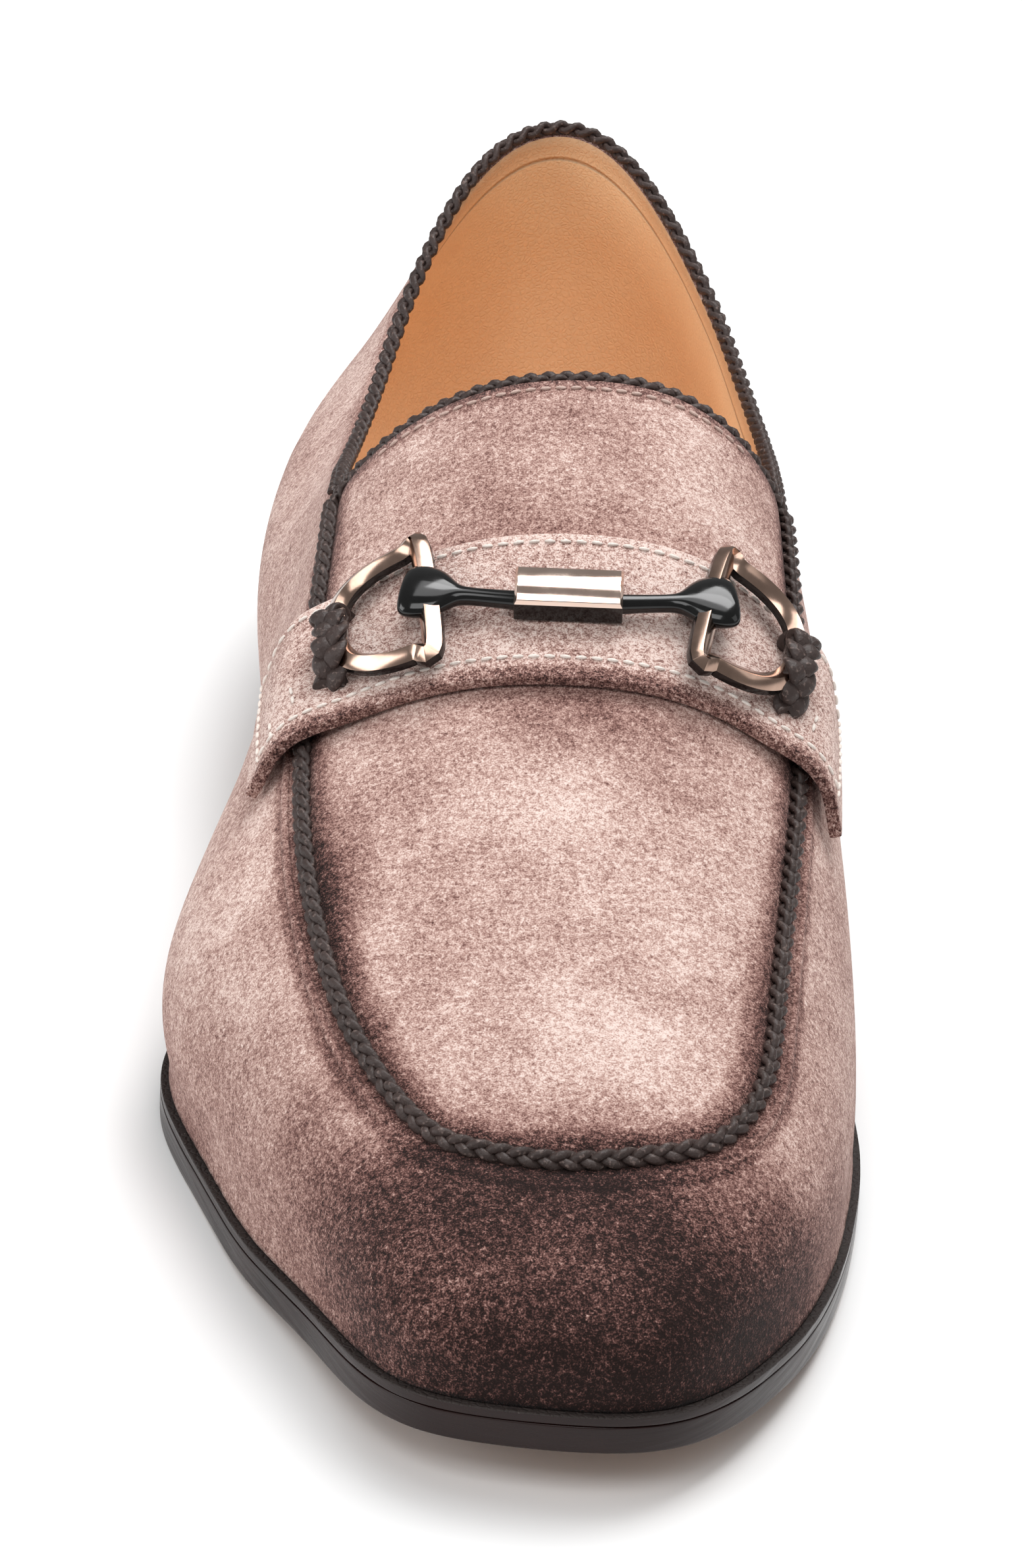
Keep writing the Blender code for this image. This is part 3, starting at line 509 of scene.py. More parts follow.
def distance_attribute(piece, name, lines):
    """Store each vertex's distance from the nearest of some lines."""
    points = [point for line in lines for point in line]
    tree_of_places = KDTree(len(points))
    for index, point in enumerate(points):
        tree_of_places.insert(point, index)
    tree_of_places.balance()
    store = piece.data.attributes.new(name, "FLOAT", "POINT")
    values = [tree_of_places.find(vertex.co)[2] for vertex in piece.data.vertices]
    store.data.foreach_set("value", values)


def inside_loop(x, y, loop):
    """Whether a place lies within a closed loop, both seen from above."""
    x0, y0 = loop[:, 0], loop[:, 1]
    x1, y1 = np.roll(x0, -1), np.roll(y0, -1)
    rise = np.where(np.abs(y1 - y0) < 1e-9, 1e-9, y1 - y0)
    crossed = ((y0 > y) != (y1 > y)) & (x < x0 + (y - y0) * (x1 - x0) / rise)
    return int(crossed.sum()) % 2 == 1


def mark_sides(piece):
    """Store each vertex's distance from the braids, and whether it is on the apron or the wall."""
    tongue_start = 0.005
    tongue_edge = apron_line[apron_line[:, 1] > tongue_start]
    distance_attribute(piece, "seam_near", [apron_line])
    distance_attribute(piece, "collar_near", [collar_line, tongue_edge])
    store = piece.data.attributes.new("on_apron", "FLOAT", "POINT")
    loop = apron_line[::4]
    values = [float(inside_loop(v.co.x, v.co.y, loop)) for v in piece.data.vertices]
    store.data.foreach_set("value", values)


mark_sides(upper)

suede_group, given, result = make_group(
    "suede_nap",
    (("Vector", "Vector"), ("Shade", "Float"), ("Contrast", "Float")),
    (("Colour", "Color"), ("Height", "Float")),
)
vector = given.outputs["Vector"]
nap = noise(suede_group, vector, 3800.0, 2.0, 0.6)
tufts = noise(suede_group, vector, 1500.0, 3.0, 0.65, 0.4)
speckle = noise(suede_group, vector, 620.0, 3.0, 0.7, 0.5)
clouds = noise(suede_group, vector, 34.0, 4.0, 0.55, 0.3)
wisps = noise(suede_group, vector, 110.0, 4.0, 0.6, 0.6)


def swing(tree, value, amount):
    """How far a noise is from its middle, times an amount."""
    return calculate(tree, "MULTIPLY", calculate(tree, "SUBTRACT", value, 0.5), amount)


total = calculate(suede_group, "ADD", swing(suede_group, nap, 1.0), swing(suede_group, tufts, 0.95))
total = calculate(suede_group, "ADD", total, swing(suede_group, speckle, 0.45))
coarser = map_range(suede_group, given.outputs["Shade"], 0.15, 0.60, 1.40, 1.0)
contrast = calculate(suede_group, "MULTIPLY", given.outputs["Contrast"], coarser)
total = calculate(suede_group, "MULTIPLY", total, contrast)
total = calculate(suede_group, "ADD", total, swing(suede_group, clouds, 0.50))
total = calculate(suede_group, "ADD", total, swing(suede_group, wisps, 0.28))
shade_value = calculate(suede_group, "ADD", given.outputs["Shade"], total)
ramp = add_node(suede_group, "ShaderNodeValToRGB", {0: shade_value})
suede_tones = (
    (0.0, (0.014, 0.007, 0.006, 1.0)),
    (0.2, (0.050, 0.023, 0.020, 1.0)),
    (0.4, (0.150, 0.070, 0.060, 1.0)),
    (0.6, (0.330, 0.192, 0.163, 1.0)),
    (0.8, (0.560, 0.385, 0.335, 1.0)),
    (1.0, (0.780, 0.630, 0.575, 1.0)),
)
elements = ramp.color_ramp.elements
while len(elements) < len(suede_tones):
    elements.new(0.5)
for element, (position, tone) in zip(elements, suede_tones):
    element.position = position
    element.color = tone
part = calculate(suede_group, "MULTIPLY", tufts, 1.4)
nap_height = calculate(suede_group, "ADD", nap, part)
suede_group.links.new(ramp.outputs[0], result.inputs["Colour"])
suede_group.links.new(nap_height, result.inputs["Height"])

# A soft round patch: 1 at its middle, 0 beyond its reach
patch_group, given, result = make_group(
    "soft_tone_and_shade_patch",
    (("Vector", "Vector"), ("Centre", "Vector"), ("Reach", "Vector")),
    (("Mask", "Float"),),
)
offset = add_node(
    patch_group,
    "ShaderNodeVectorMath",
    {0: given.outputs["Vector"], 1: given.outputs["Centre"]},
    operation="SUBTRACT",
)
scaled = add_node(
    patch_group,
    "ShaderNodeVectorMath",
    {0: offset.outputs[0], 1: given.outputs["Reach"]},
    operation="DIVIDE",
)
length = add_node(patch_group, "ShaderNodeVectorMath", {0: scaled.outputs[0]}, operation="LENGTH")
mask = map_range(patch_group, length.outputs["Value"], 0.0, 1.0, 1.0, 0.0)
patch_group.links.new(mask, result.inputs["Mask"])


def add_patches(tree, place, start, patches):
    """Add soft patches to a shade value, brushed tones and painted shade alike; each has a centre,
    a reach and a strength.
    """
    total = start
    for centre, reach, strength in patches:
        values = {"Vector": place, "Centre": centre, "Reach": reach}
        node = add_node(tree, "ShaderNodeGroup", values, node_tree=patch_group)
        part = calculate(tree, "MULTIPLY", node.outputs["Mask"], strength)
        total = calculate(tree, "ADD", total, part)
    return total


def add_nap(tree, shader, place, shade_now, contrast, depth, strength):
    """Give a material the suede's colours and nap at a shade."""
    values = {"Vector": place, "Shade": shade_now, "Contrast": contrast}
    node = add_node(tree, "ShaderNodeGroup", values, node_tree=suede_group)
    tree.links.new(node.outputs["Colour"], shader.inputs["Base Color"])
    add_bump(tree, shader, node.outputs["Height"], depth, strength)


suede, tree, shader = new_material(
    "burnished_suede", Roughness=0.92, Sheen_Weight=0.06, Sheen_Roughness=0.5, IOR=1.25
)
place = object_place(tree)
wobble = noise(tree, place, 90.0, 3.0)
seam_near = attribute(tree, "seam_near")
collar_near = attribute(tree, "collar_near")
on_apron = attribute(tree, "on_apron")
loose = swing(tree, wobble, 0.004)
# painted shade: a dark line in the fold just outside the seam ridge, on the wall's side only
beside_ridge = calculate(tree, "ABSOLUTE", calculate(tree, "SUBTRACT", seam_near, 0.0050))
crease_shade = map_range(tree, beside_ridge, 0.0002, 0.0011, 0.12, 0.0)
on_wall = calculate(tree, "SUBTRACT", 1.0, on_apron)
crease_shade = calculate(tree, "MULTIPLY", crease_shade, on_wall)
seam_near = calculate(tree, "ADD", seam_near, loose)
apron_halo = map_range(tree, seam_near, 0.0014, 0.0068, 0.38, 0.0)
wall_halo = map_range(tree, seam_near, 0.0014, 0.0075, 0.30, 0.0)
difference = calculate(tree, "SUBTRACT", apron_halo, wall_halo)
halo = calculate(tree, "ADD", wall_halo, calculate(tree, "MULTIPLY", difference, on_apron))
collar_halo = map_range(tree, calculate(tree, "ADD", collar_near, loose), 0.0010, 0.0060, 0.22, 0.0)
halo = calculate(tree, "MAXIMUM", halo, collar_halo)
level = add_node(tree, "ShaderNodeSeparateXYZ", {0: place}).outputs[2]
foot_shadow = map_range(tree, level, 0.007, 0.030, 0.15, 0.0)
# centre, reach and strength of each place that was burnished or brushed, and of two places of
# painted shade by the strap
finish_and_painted_shade = (
    ((0.010, -0.150, 0.022), (0.066, 0.050, 0.060), -0.66),
    ((0.036, -0.134, 0.022), (0.030, 0.038, 0.034), -0.22),
    ((0.046, -0.118, 0.018), (0.018, 0.030, 0.026), -0.26),
    ((-0.022, -0.122, 0.026), (0.026, 0.028, 0.020), -0.34),
    ((0.005, -0.126, 0.034), (0.040, 0.015, 0.016), -0.24),
    ((-0.026, -0.070, 0.048), (0.008, 0.040, 0.014), -0.27),
    ((0.049, -0.051, 0.038), (0.014, 0.024, 0.016), -0.12),
    ((-0.002, 0.010, 0.085), (0.030, 0.012, 0.012), -0.09),
    # the tongue just behind the strap: partly darker suede, partly painted contact shade
    ((0.004, -0.004, 0.076), (0.050, 0.014, 0.016), -0.15),
    ((0.0175, -0.0986, 0.0434), (0.016, 0.014, 0.014), 0.16),
    ((0.0072, -0.0579, 0.0580), (0.013, 0.012, 0.012), 0.10),
    ((-0.0046, -0.0543, 0.0585), (0.012, 0.011, 0.012), 0.06),
    ((0.0054, -0.0808, 0.0496), (0.013, 0.009, 0.012), -0.06),
    # painted shadow under the strap's lower edge
    ((0.0074, -0.0370, 0.0640), (0.042, 0.014, 0.020), -0.22),
    ((0.0042, -0.1140, 0.0389), (0.030, 0.009, 0.012), -0.09),
    ((0.0025, 0.0184, 0.0890), (0.024, 0.008, 0.012), -0.12),
    ((-0.0430, -0.0450, 0.0400), (0.014, 0.022, 0.014), -0.08),
)
upper_shade = 0.745
shade_now = calculate(tree, "SUBTRACT", upper_shade, halo)
shade_now = calculate(tree, "SUBTRACT", shade_now, foot_shadow)
shade_now = calculate(tree, "SUBTRACT", shade_now, crease_shade)
shade_now = add_patches(tree, place, shade_now, finish_and_painted_shade)
add_nap(tree, shader, place, shade_now, contrast=1.0, depth=0.00020, strength=0.7)

upper.data.materials.append(suede)
upper.data.materials.append(lining)
for face in upper.data.polygons:
    away = np.array(face.center) - foot_axis(face.center)
    face.material_index = int(float(np.dot(away, np.array(face.normal))) < 0.0)
settle(upper, "suede", "upper")


# Braids
# Two dark leather cords, each plaited from three round thongs: one lies in the apron's seam and
# runs on round the tongue's edge, the other binds the collar and ends against the first.

def sweep(name, line, sides, ups, profile, closed):
    """Carry a closed profile along a line; sides and ups give its directions at each place."""
    mesh = bmesh.new()
    rings = [
        [mesh.verts.new(Vector(point + side * u + up * w)) for u, w in profile]
        for point, side, up in zip(line, sides, ups)
    ]
    pairs = list(zip(rings, rings[1:] + rings[:1])) if closed else list(zip(rings, rings[1:]))
    number = len(profile)
    for near, far in pairs:
        for k in range(number):
            mesh.faces.new((near[k], near[(k + 1) % number], far[(k + 1) % number], far[k]))
    if not closed:
        mesh.faces.new(rings[0][::-1])
        mesh.faces.new(rings[-1])
    bmesh.ops.recalc_face_normals(mesh, faces=mesh.faces[:])
    data = bpy.data.meshes.new(name)
    mesh.to_mesh(data)
    mesh.free()
    piece = bpy.data.objects.new(name, data)
    bpy.context.collection.objects.link(piece)
    return piece


def directions(line, away, closed):
    """Along, side and up at each place of a line; up is the away direction made square."""
    if closed:
        along = np.roll(line, -1, axis=0) - np.roll(line, 1, axis=0)
    else:
        along = np.gradient(line, axis=0)
    along /= np.linalg.norm(along, axis=1)[:, None]
    up = away - along * np.sum(away * along, axis=1)[:, None]
    up /= np.linalg.norm(up, axis=1)[:, None]
    return along, np.cross(along, up), up


def oval(width, thickness, sides):
    turns = [2.0 * math.pi * k / sides for k in range(sides)]
    return [(0.5 * width * math.cos(t), 0.5 * thickness * math.sin(t)) for t in turns]


def join(pieces, name):
    pick(pieces[0])
    for piece in pieces:
        piece.select_set(True)
    bpy.ops.object.join()
    bpy.context.active_object.name = name
    return bpy.context.active_object


def plait(name, line, away, width, thong, pitch, closed, sides=8):
    """Three thongs plaited along a line; pitch is one thong's whole swing."""
    _, side, up = directions(line, away, closed)
    count = len(line)
    steps = np.linalg.norm(np.diff(line, axis=0), axis=1)
    whole = steps.sum() + (np.linalg.norm(line[0] - line[-1]) if closed else 0.0)
    swings = max(round(whole / pitch), 1) if closed else whole / pitch
    phase = 2.0 * math.pi * swings * np.arange(count) / (count if closed else count - 1)
    sway = 0.5 * (width - thong[0])
    lift = 0.58 * thong[1]
    thongs = []
    for k in range(3):
        turn = phase + 2.0 * math.pi * k / 3.0
        sideways = side * (sway * np.sin(turn))[:, None]
        upward = up * (lift * np.sin(2.0 * turn))[:, None]
        path = line + sideways + upward
        _, own_side, own_up = directions(path, up, closed)
        thongs.append(sweep(name + "_thong", path, own_side, own_up, oval(*thong, sides), closed))
    piece = join(thongs, name)
    shade(piece, 80.0)
    return piece


def smooth_directions(away, closed, rounds=12):
    for _ in range(rounds):
        if closed:
            away = (np.roll(away, 1, axis=0) + away * 2.0 + np.roll(away, -1, axis=0)) / 4.0
        else:
            inner = (away[:-2] + away[1:-1] * 2.0 + away[2:]) / 4.0
            away = np.concatenate((away[:1], inner, away[-1:]))
    return away / np.linalg.norm(away, axis=1)[:, None]


thong_leather, tree, shader = new_material("plaited_thong", Roughness=0.5, IOR=1.4)
place = object_place(tree)
_, mottle = grain(tree, place, 1600.0)
fuzz = noise(tree, place, 1400.0, 3.0)
# lighter flecks: partly scuffs in the leather, partly painted highlights on the thongs
scuff_and_highlight = map_range(tree, fuzz, 0.56, 0.76, 0.0, 0.65)
colour = blend_colour(tree, mottle, (0.022, 0.014, 0.012, 1.0), (0.066, 0.043, 0.038, 1.0))
colour = blend_colour(tree, scuff_and_highlight, colour, (0.24, 0.175, 0.155, 1.0))
tree.links.new(colour, shader.inputs["Base Color"])
add_bump(tree, shader, fuzz, 0.00020)

def skin_of(piece):
    """A search tree over a piece's surface."""
    view = bmesh.new()
    view.from_mesh(piece.data)
    surface = BVHTree.FromBMesh(view)
    view.free()
    return surface


upper_skin = skin_of(upper)


def settle_on(line, surface, stand_off, closed):
    """Draw a line in until it lies a stand-off away from a surface, never further out."""
    pulls = []
    for p in line:
        spot, _, _, gap = surface.find_nearest(Vector(p))
        pulls.append((np.array(spot) - p) * max(gap - stand_off, 0.0) / max(gap, 1e-6))
    pulls = np.array(pulls)
    for _ in range(10):
        if closed:
            pulls = (np.roll(pulls, 1, axis=0) + 2.0 * pulls + np.roll(pulls, -1, axis=0)) / 4.0
        else:
            pulls[1:-1] = (pulls[:-2] + 2.0 * pulls[1:-1] + pulls[2:]) / 4.0
    return line + pulls


def lay_braid(name, seam, stand_off, width, thong, pitch, closed):
    """Lay a braid on the upper along a seam."""
    line = even_line([Vector(p) for p in seam[::3]], 0.00055, closed)
    line = settle_on(line, upper_skin, stand_off, closed)
    away = smooth_directions(np.array([p - foot_axis(p) for p in line]), closed)
    braid = plait(name, line, away, width, thong, pitch, closed)
    braid.data.materials.append(thong_leather)
    return braid


apron_width = 0.0031
apron_thong = (0.0014, 0.0011)
apron_pitch = 0.0088
collar_width = 0.0035
collar_thong = (0.0016, 0.00125)
collar_pitch = 0.0096
apron_braid = lay_braid(
    "apron_plait", apron_line, 0.0010, apron_width, apron_thong, apron_pitch, True
)
settle(apron_braid, "braided_cord", "apron_braid")
collar_braid = lay_braid(
    "collar_plait", collar_line, 0.0009, collar_width, collar_thong, collar_pitch, False
)
settle(collar_braid, "braided_cord", "collar_braid")


# Seam ridge
# Outside the braid the wall's suede is folded over a fine cord, so a narrow ridge follows the
# apron's seam from one junction to the other.

ridge_offset = 0.0038
ridge_width = 0.0015
ridge_height = 0.0010
ridge_end = 0.004

line = even_line([Vector(p) for p in apron_line[::3]], seam_step, True)
_, side, _ = directions(line, np.array([p - foot_axis(p) for p in line]), True)
middle = line.mean(0)
start = int(np.argmax(line[:, 1]))
line, side = np.roll(line, -start, axis=0), np.roll(side, -start, axis=0)
spots, normals = [], []
for p, s in zip(line, side):
    outward = s * math.copysign(1.0, float(np.dot(s, p - middle)))
    if p[1] > ridge_end:
        continue
    spot, normal, _, _ = upper_skin.find_nearest(Vector(p + outward * ridge_offset))
    spots.append(np.array(spot))
    normals.append(np.array(normal))
spots = np.array(spots)
for _ in range(6):
    spots[1:-1] = (spots[:-2] + 2.0 * spots[1:-1] + spots[2:]) / 4.0
normals = smooth_directions(np.array(normals), False)
_, side, up = directions(spots, normals, False)
seam_ridge = sweep("seam_ridge", spots, side, up, oval(ridge_width, ridge_height, 12), False)
mark_sides(seam_ridge)
seam_ridge.data.materials.append(suede)
shade(seam_ridge, 180.0)
settle(seam_ridge, "suede")


# Strap
# A band of lighter suede laid over the instep and sewn down at its ends. A row of cream thread
# runs along each long edge, and below the lower row the edge is turned and darkened.

strap_middle = -0.0218
strap_width = 0.0270
strap_flare = 0.0040
strap_sweep = 0.0020
strap_axis_height = 0.0300
strap_edge_radius = 0.0004

strap = take("strap", "suede_strap")
make_quads(strap)
round_edges(strap, strap_edge_radius)
subdivide(strap, 2)
shade(strap, 180.0)


def strap_along(a, v):
    """Where a lane v of the strap lies along the shoe, at a share a from its middle."""
    if v < 0.0:
        return strap_middle + v * (0.5 * strap_width + strap_flare * abs(a) ** 4)
    return strap_middle + v * (0.5 * strap_width - strap_sweep * abs(a) ** 3)


low_corner, high_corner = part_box("strap")
strap_centre = 0.5 * (low_corner.x + high_corner.x)
strap_reach = math.radians(67.0)
front = strap.data.attributes.new("from_front", "FLOAT", "POINT")
back = strap.data.attributes.new("from_back", "FLOAT", "POINT")
for vertex, front_item, back_item in zip(strap.data.vertices, front.data, back.data):
    turn = math.atan2(vertex.co.x - strap_centre, vertex.co.z - strap_axis_height)
    share = min(max(turn / strap_reach, -1.0), 1.0)
    front_item.value = vertex.co.y - strap_along(share, -1.0)
    back_item.value = strap_along(share, 1.0) - vertex.co.y

strap_suede, tree, shader = new_material(
    "strap_suede", Roughness=0.92, Sheen_Weight=0.06, Sheen_Roughness=0.5, IOR=1.25
)
place = object_place(tree)
from_front = attribute(tree, "from_front")
from_back = attribute(tree, "from_back")
edge_dark = map_range(tree, from_front, 0.0002, 0.0026, 0.34, 0.0)
back_light = map_range(tree, from_back, 0.0004, 0.0032, 0.14, 0.0)
strap_shade = 0.81
shade_now = calculate(tree, "SUBTRACT", strap_shade, edge_dark)
shade_now = calculate(tree, "ADD", shade_now, back_light)
add_nap(tree, shader, place, shade_now, contrast=1.35, depth=0.00022, strength=0.8)
strap.data.materials.append(strap_suede)
settle(strap, "strap_suede", "strap")


# Threads
# Waxed thread; each stitch is a short round length that dips into the suede at both ends. Cream
# thread holds the strap: two long rows, a row at each end, and tacks beside the lateral row and
# by the keepers. A row of mauve thread runs below the tongue's braid.

stitch_length = 0.0018
stitch_pitch = 0.0024
thread_diameter = 0.00062


def thread_material(name, dark, light):
    """Twisted thread, between its dark and its light colour."""
    material, tree, shader = new_material(name, Roughness=0.6)
    twist = noise(tree, object_place(tree), 3000.0, 2.0)
    colour = blend_colour(tree, twist, dark, light)
    tree.links.new(colour, shader.inputs["Base Color"])
    add_bump(tree, shader, twist, 0.00010)
    return material


cream_thread = thread_material("cream_thread", (0.62, 0.52, 0.46, 1.0), (0.92, 0.86, 0.80, 1.0))
mauve_thread = thread_material("mauve_thread", (0.36, 0.24, 0.20, 1.0), (0.66, 0.50, 0.44, 1.0))


def stitch_row(name, spots, surface, material=cream_thread):
    """Sew a row of stitches along a line of spots near a surface; some may be missing."""
    found = [Vector(spot) for spot in spots if spot is not None]
    stops = even_line(found, stitch_pitch, False)
    row = []
    for here, following in zip(stops[:-1], stops[1:]):
        middle, normal, _, _ = surface.find_nearest(Vector(0.5 * (here + following)))
        run = Vector(following - here)
        along = (run - normal * run.dot(normal)).normalized()
        turn = Matrix((along, normal.cross(along), normal)).transposed().to_4x4()
        bpy.ops.mesh.primitive_uv_sphere_add(segments=8, ring_count=5, radius=0.5)
        stitch = bpy.context.active_object
        stitch.data.transform(Matrix.Rotation(math.radians(90.0), 4, "Y"))
        size = Matrix.Diagonal((stitch_length, thread_diameter, thread_diameter, 1.0))
        tilt = Matrix.Rotation(math.radians(random.uniform(-7.0, 7.0)), 4, "Z")
        lift = normal * thread_diameter * 0.28
        stitch.data.transform(Matrix.Translation(middle + lift) @ turn @ tilt @ size)
        row.append(stitch)
    piece = join(row, name)
    piece.data.materials.append(material)
    shade(piece, 180.0)
    settle(piece, "strap_suede")


strap_skin = skin_of(strap)


def on_strap(a, v, inset):
    """A spot on the strap's outer face, an inset away from one of its long edges."""
    turn = a * strap_reach
    along = strap_along(a, v) - math.copysign(inset, v)
    axis = Vector((strap_centre, along, strap_axis_height))
    ray = Vector((math.sin(turn), 0.0, math.cos(turn)))
    return strap_skin.ray_cast(axis + ray * 0.1, -ray)[0]


for name, v, inset in (("strap_front_row", -1.0, 0.0030), ("strap_back_row", 1.0, 0.0026)):
    spots = [on_strap(-0.95 + 1.9 * k / 60, v, inset) for k in range(61)]
    stitch_row(name, spots, strap_skin)
# share from the strap's middle to its end, then the first and the last lane
for name, a, low, high in (
    ("strap_lateral_row", -0.955, -0.90, 0.85),
    ("strap_lateral_tack", -0.885, -0.86, -0.55),
    ("strap_medial_row", 0.955, -0.90, 0.85),
    ("keeper_tack_lateral", -0.80, -0.60, -0.30),
    ("keeper_tack_medial", 0.80, -0.60, -0.30),
):
    spots = [on_strap(a, low + (high - low) * k / 20, 0.0) for k in range(21)]
    stitch_row(name, spots, strap_skin)

tongue_row_inset = 0.0042
tongue_middle = 0.003
tongue_row_reach = 0.030
tongue = [p for p in apron_line if p[1] > 0.0]
tongue.sort(key=lambda p: p[0])
spots = []
for p in tongue[::3]:
    if abs(p[0] - tongue_middle) < tongue_row_reach:
        above = Vector(p) + Vector((0.0, -tongue_row_inset, 0.02))
        spots.append(upper_skin.ray_cast(above, down)[0])
stitch_row("tongue_row", spots, upper_skin, mauve_thread)


# Bit
# A snaffle of polished rose-coloured metal and black enamel: a rounded barrel in the middle, a
# bar with a bell-shaped paddle at each side, and a faceted ring through each paddle.

def own_frame(node):
    """Middle and three directions of a CAD node's shape, from its longest to its shortest."""
    places = np.array([tuple(v.co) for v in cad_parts[node].data.vertices])
    places = np.unique(places.round(7), axis=0)
    middle = 0.5 * (places.min(0) + places.max(0))
    _, _, axes = np.linalg.svd(places - places.mean(0), full_matrices=False)
    return places, middle, axes


def placement(middle, first, second, third):
    """The matrix that carries a piece from its own directions to its place on the shoe."""
    turn = Matrix((first, second, third)).transposed().to_4x4()
    return Matrix.Translation(middle) @ turn


metal, tree, shader = new_material("rose_metal", Metallic=1.0, Roughness=0.12)
place = object_place(tree)
tarnish = noise(tree, place, 240.0, 4.0)
colour = blend_colour(tree, tarnish, (0.78, 0.56, 0.46, 1.0), (0.90, 0.72, 0.62, 1.0))
tree.links.new(colour, shader.inputs["Base Color"])
rough = map_range(tree, tarnish, 0.3, 0.7, 0.07, 0.16)
tree.links.new(rough, shader.inputs["Roughness"])

ring_metal, tree, shader = new_material("dark_rose_metal", Metallic=1.0, Roughness=0.16)
place = object_place(tree)
tarnish = noise(tree, place, 300.0, 4.0)
colour = blend_colour(tree, tarnish, (0.26, 0.17, 0.13, 1.0), (0.62, 0.43, 0.34, 1.0))
tree.links.new(colour, shader.inputs["Base Color"])

enamel, tree, shader = new_material("black_enamel", IOR=1.48)
place = object_place(tree)
ripple = noise(tree, place, 400.0, 2.0)
colour = blend_colour(tree, ripple, (0.002, 0.002, 0.002, 1.0), (0.006, 0.006, 0.006, 1.0))
tree.links.new(colour, shader.inputs["Base Color"])
rough = map_range(tree, ripple, 0.3, 0.7, 0.08, 0.14)
tree.links.new(rough, shader.inputs["Roughness"])

places, middle, axes = own_frame("bit_barrel")
level = axes[0] * math.copysign(1.0, axes[0][0])
slope = axes[1] * math.copysign(1.0, axes[1][1])
barrel_up = np.cross(level, slope)
spans = [np.ptp((places - middle) @ axis) for axis in (level, slope, barrel_up)]
# share of the barrel's height, then the share of its length and of its width
barrel_sections = (
    (0.00, 1.00, 1.00),
    (0.70, 1.00, 1.00),
    (0.84, 0.955, 0.91),
    (0.93, 0.955, 0.62),
    (0.98, 0.955, 0.34),
    (1.00, 0.955, 0.10),
)
bpy.ops.object.select_all(action="DESELECT")
bpy.ops.mesh.primitive_plane_add(size=1.0, location=(0.0, 0.0, -0.5 * spans[2]))
barrel = bpy.context.active_object
barrel.name = "barrel"
bpy.ops.object.mode_set(mode="EDIT")
bpy.ops.mesh.select_all(action="SELECT")
bpy.ops.transform.resize(value=(spans[0], spans[1], 1.0))
for before, section in zip(barrel_sections, barrel_sections[1:]):
    climb = (section[0] - before[0]) * spans[2]
    bpy.ops.mesh.extrude_region_move(TRANSFORM_OT_translate={"value": (0.0, 0.0, climb)})
    bpy.ops.transform.resize(value=(section[1] / before[1], section[2] / before[2], 1.0))
bpy.ops.mesh.select_all(action="SELECT")
bpy.ops.mesh.normals_make_consistent(inside=False)
bpy.ops.object.mode_set(mode="OBJECT")
barrel.data.transform(barrel.matrix_world)
barrel.matrix_world = Matrix.Identity(4)
apply_modifier(
    barrel,
    "BEVEL",
    width=0.00018,
    segments=3,
    limit_method="ANGLE",
    angle_limit=math.radians(30.0),
)
barrel.data.materials.append(metal)
barrel.data.materials.append(enamel)
enamel_share = 0.68
for face in barrel.data.polygons:
    face.material_index = int(face.center.z < (enamel_share - 0.5) * spans[2])
barrel.data.transform(placement(middle, level, slope, barrel_up))
shade(barrel, 25.0)
settle(barrel, "rose_metal", "bit_barrel")

# share of the bar's length, then half its height and half its thickness
bar_sections = (
    (-0.16, 0.00165, 0.00165),
    (-0.15, 0.00165, 0.00165),
    (0.00, 0.00155, 0.00150),
    (0.30, 0.00140, 0.00140),
    (0.45, 0.00150, 0.00145),
    (0.52, 0.00210, 0.00155),
    (0.60, 0.00360, 0.00180),
    (0.70, 0.00500, 0.00210),
    (0.84, 0.00560, 0.00225),
    (0.96, 0.00550, 0.00215),
    (1.04, 0.00440, 0.00160),
)
for word, sign in (("lateral", -1.0), ("medial", 1.0)):
    node = "bit_bar_" + word
    places, middle, axes = own_frame(node)
    axis = axes[0] * math.copysign(1.0, axes[0][0] * sign)
    height_way = axes[1] * math.copysign(1.0, axes[1][1])
    thick_way = np.cross(axis, height_way)
    spread = (places - middle) @ axis
    length = float(np.ptp(spread))
    start = places.mean(0) + axis * (spread.min() - (places.mean(0) - middle) @ axis)
    start += axis * bar_sections[0][0] * length
    bpy.ops.object.select_all(action="DESELECT")
    bpy.ops.mesh.primitive_circle_add(vertices=16, radius=bar_sections[0][1], fill_type="NGON")
    bar = bpy.context.active_object
    bar.name = "enamelled_bar_" + word
    bpy.ops.object.mode_set(mode="EDIT")
    bpy.ops.mesh.select_all(action="SELECT")
    for before, section in zip(bar_sections, bar_sections[1:]):
        climb = (section[0] - before[0]) * length
        bpy.ops.mesh.extrude_region_move(TRANSFORM_OT_translate={"value": (0.0, 0.0, climb)})
        bpy.ops.transform.resize(
            value=(section[1] / before[1], section[2] / before[2], 1.0),
            center_override=(0.0, 0.0, (section[0] - bar_sections[0][0]) * length),
        )
    bpy.ops.mesh.select_all(action="SELECT")
    bpy.ops.mesh.normals_make_consistent(inside=False)
    bpy.ops.object.mode_set(mode="OBJECT")
    bar.data.transform(placement(start, height_way, thick_way, axis))
    subdivide(bar, 2)
    bar.data.materials.append(enamel)
    shade(bar, 180.0)
    settle(bar, "enamel", node)

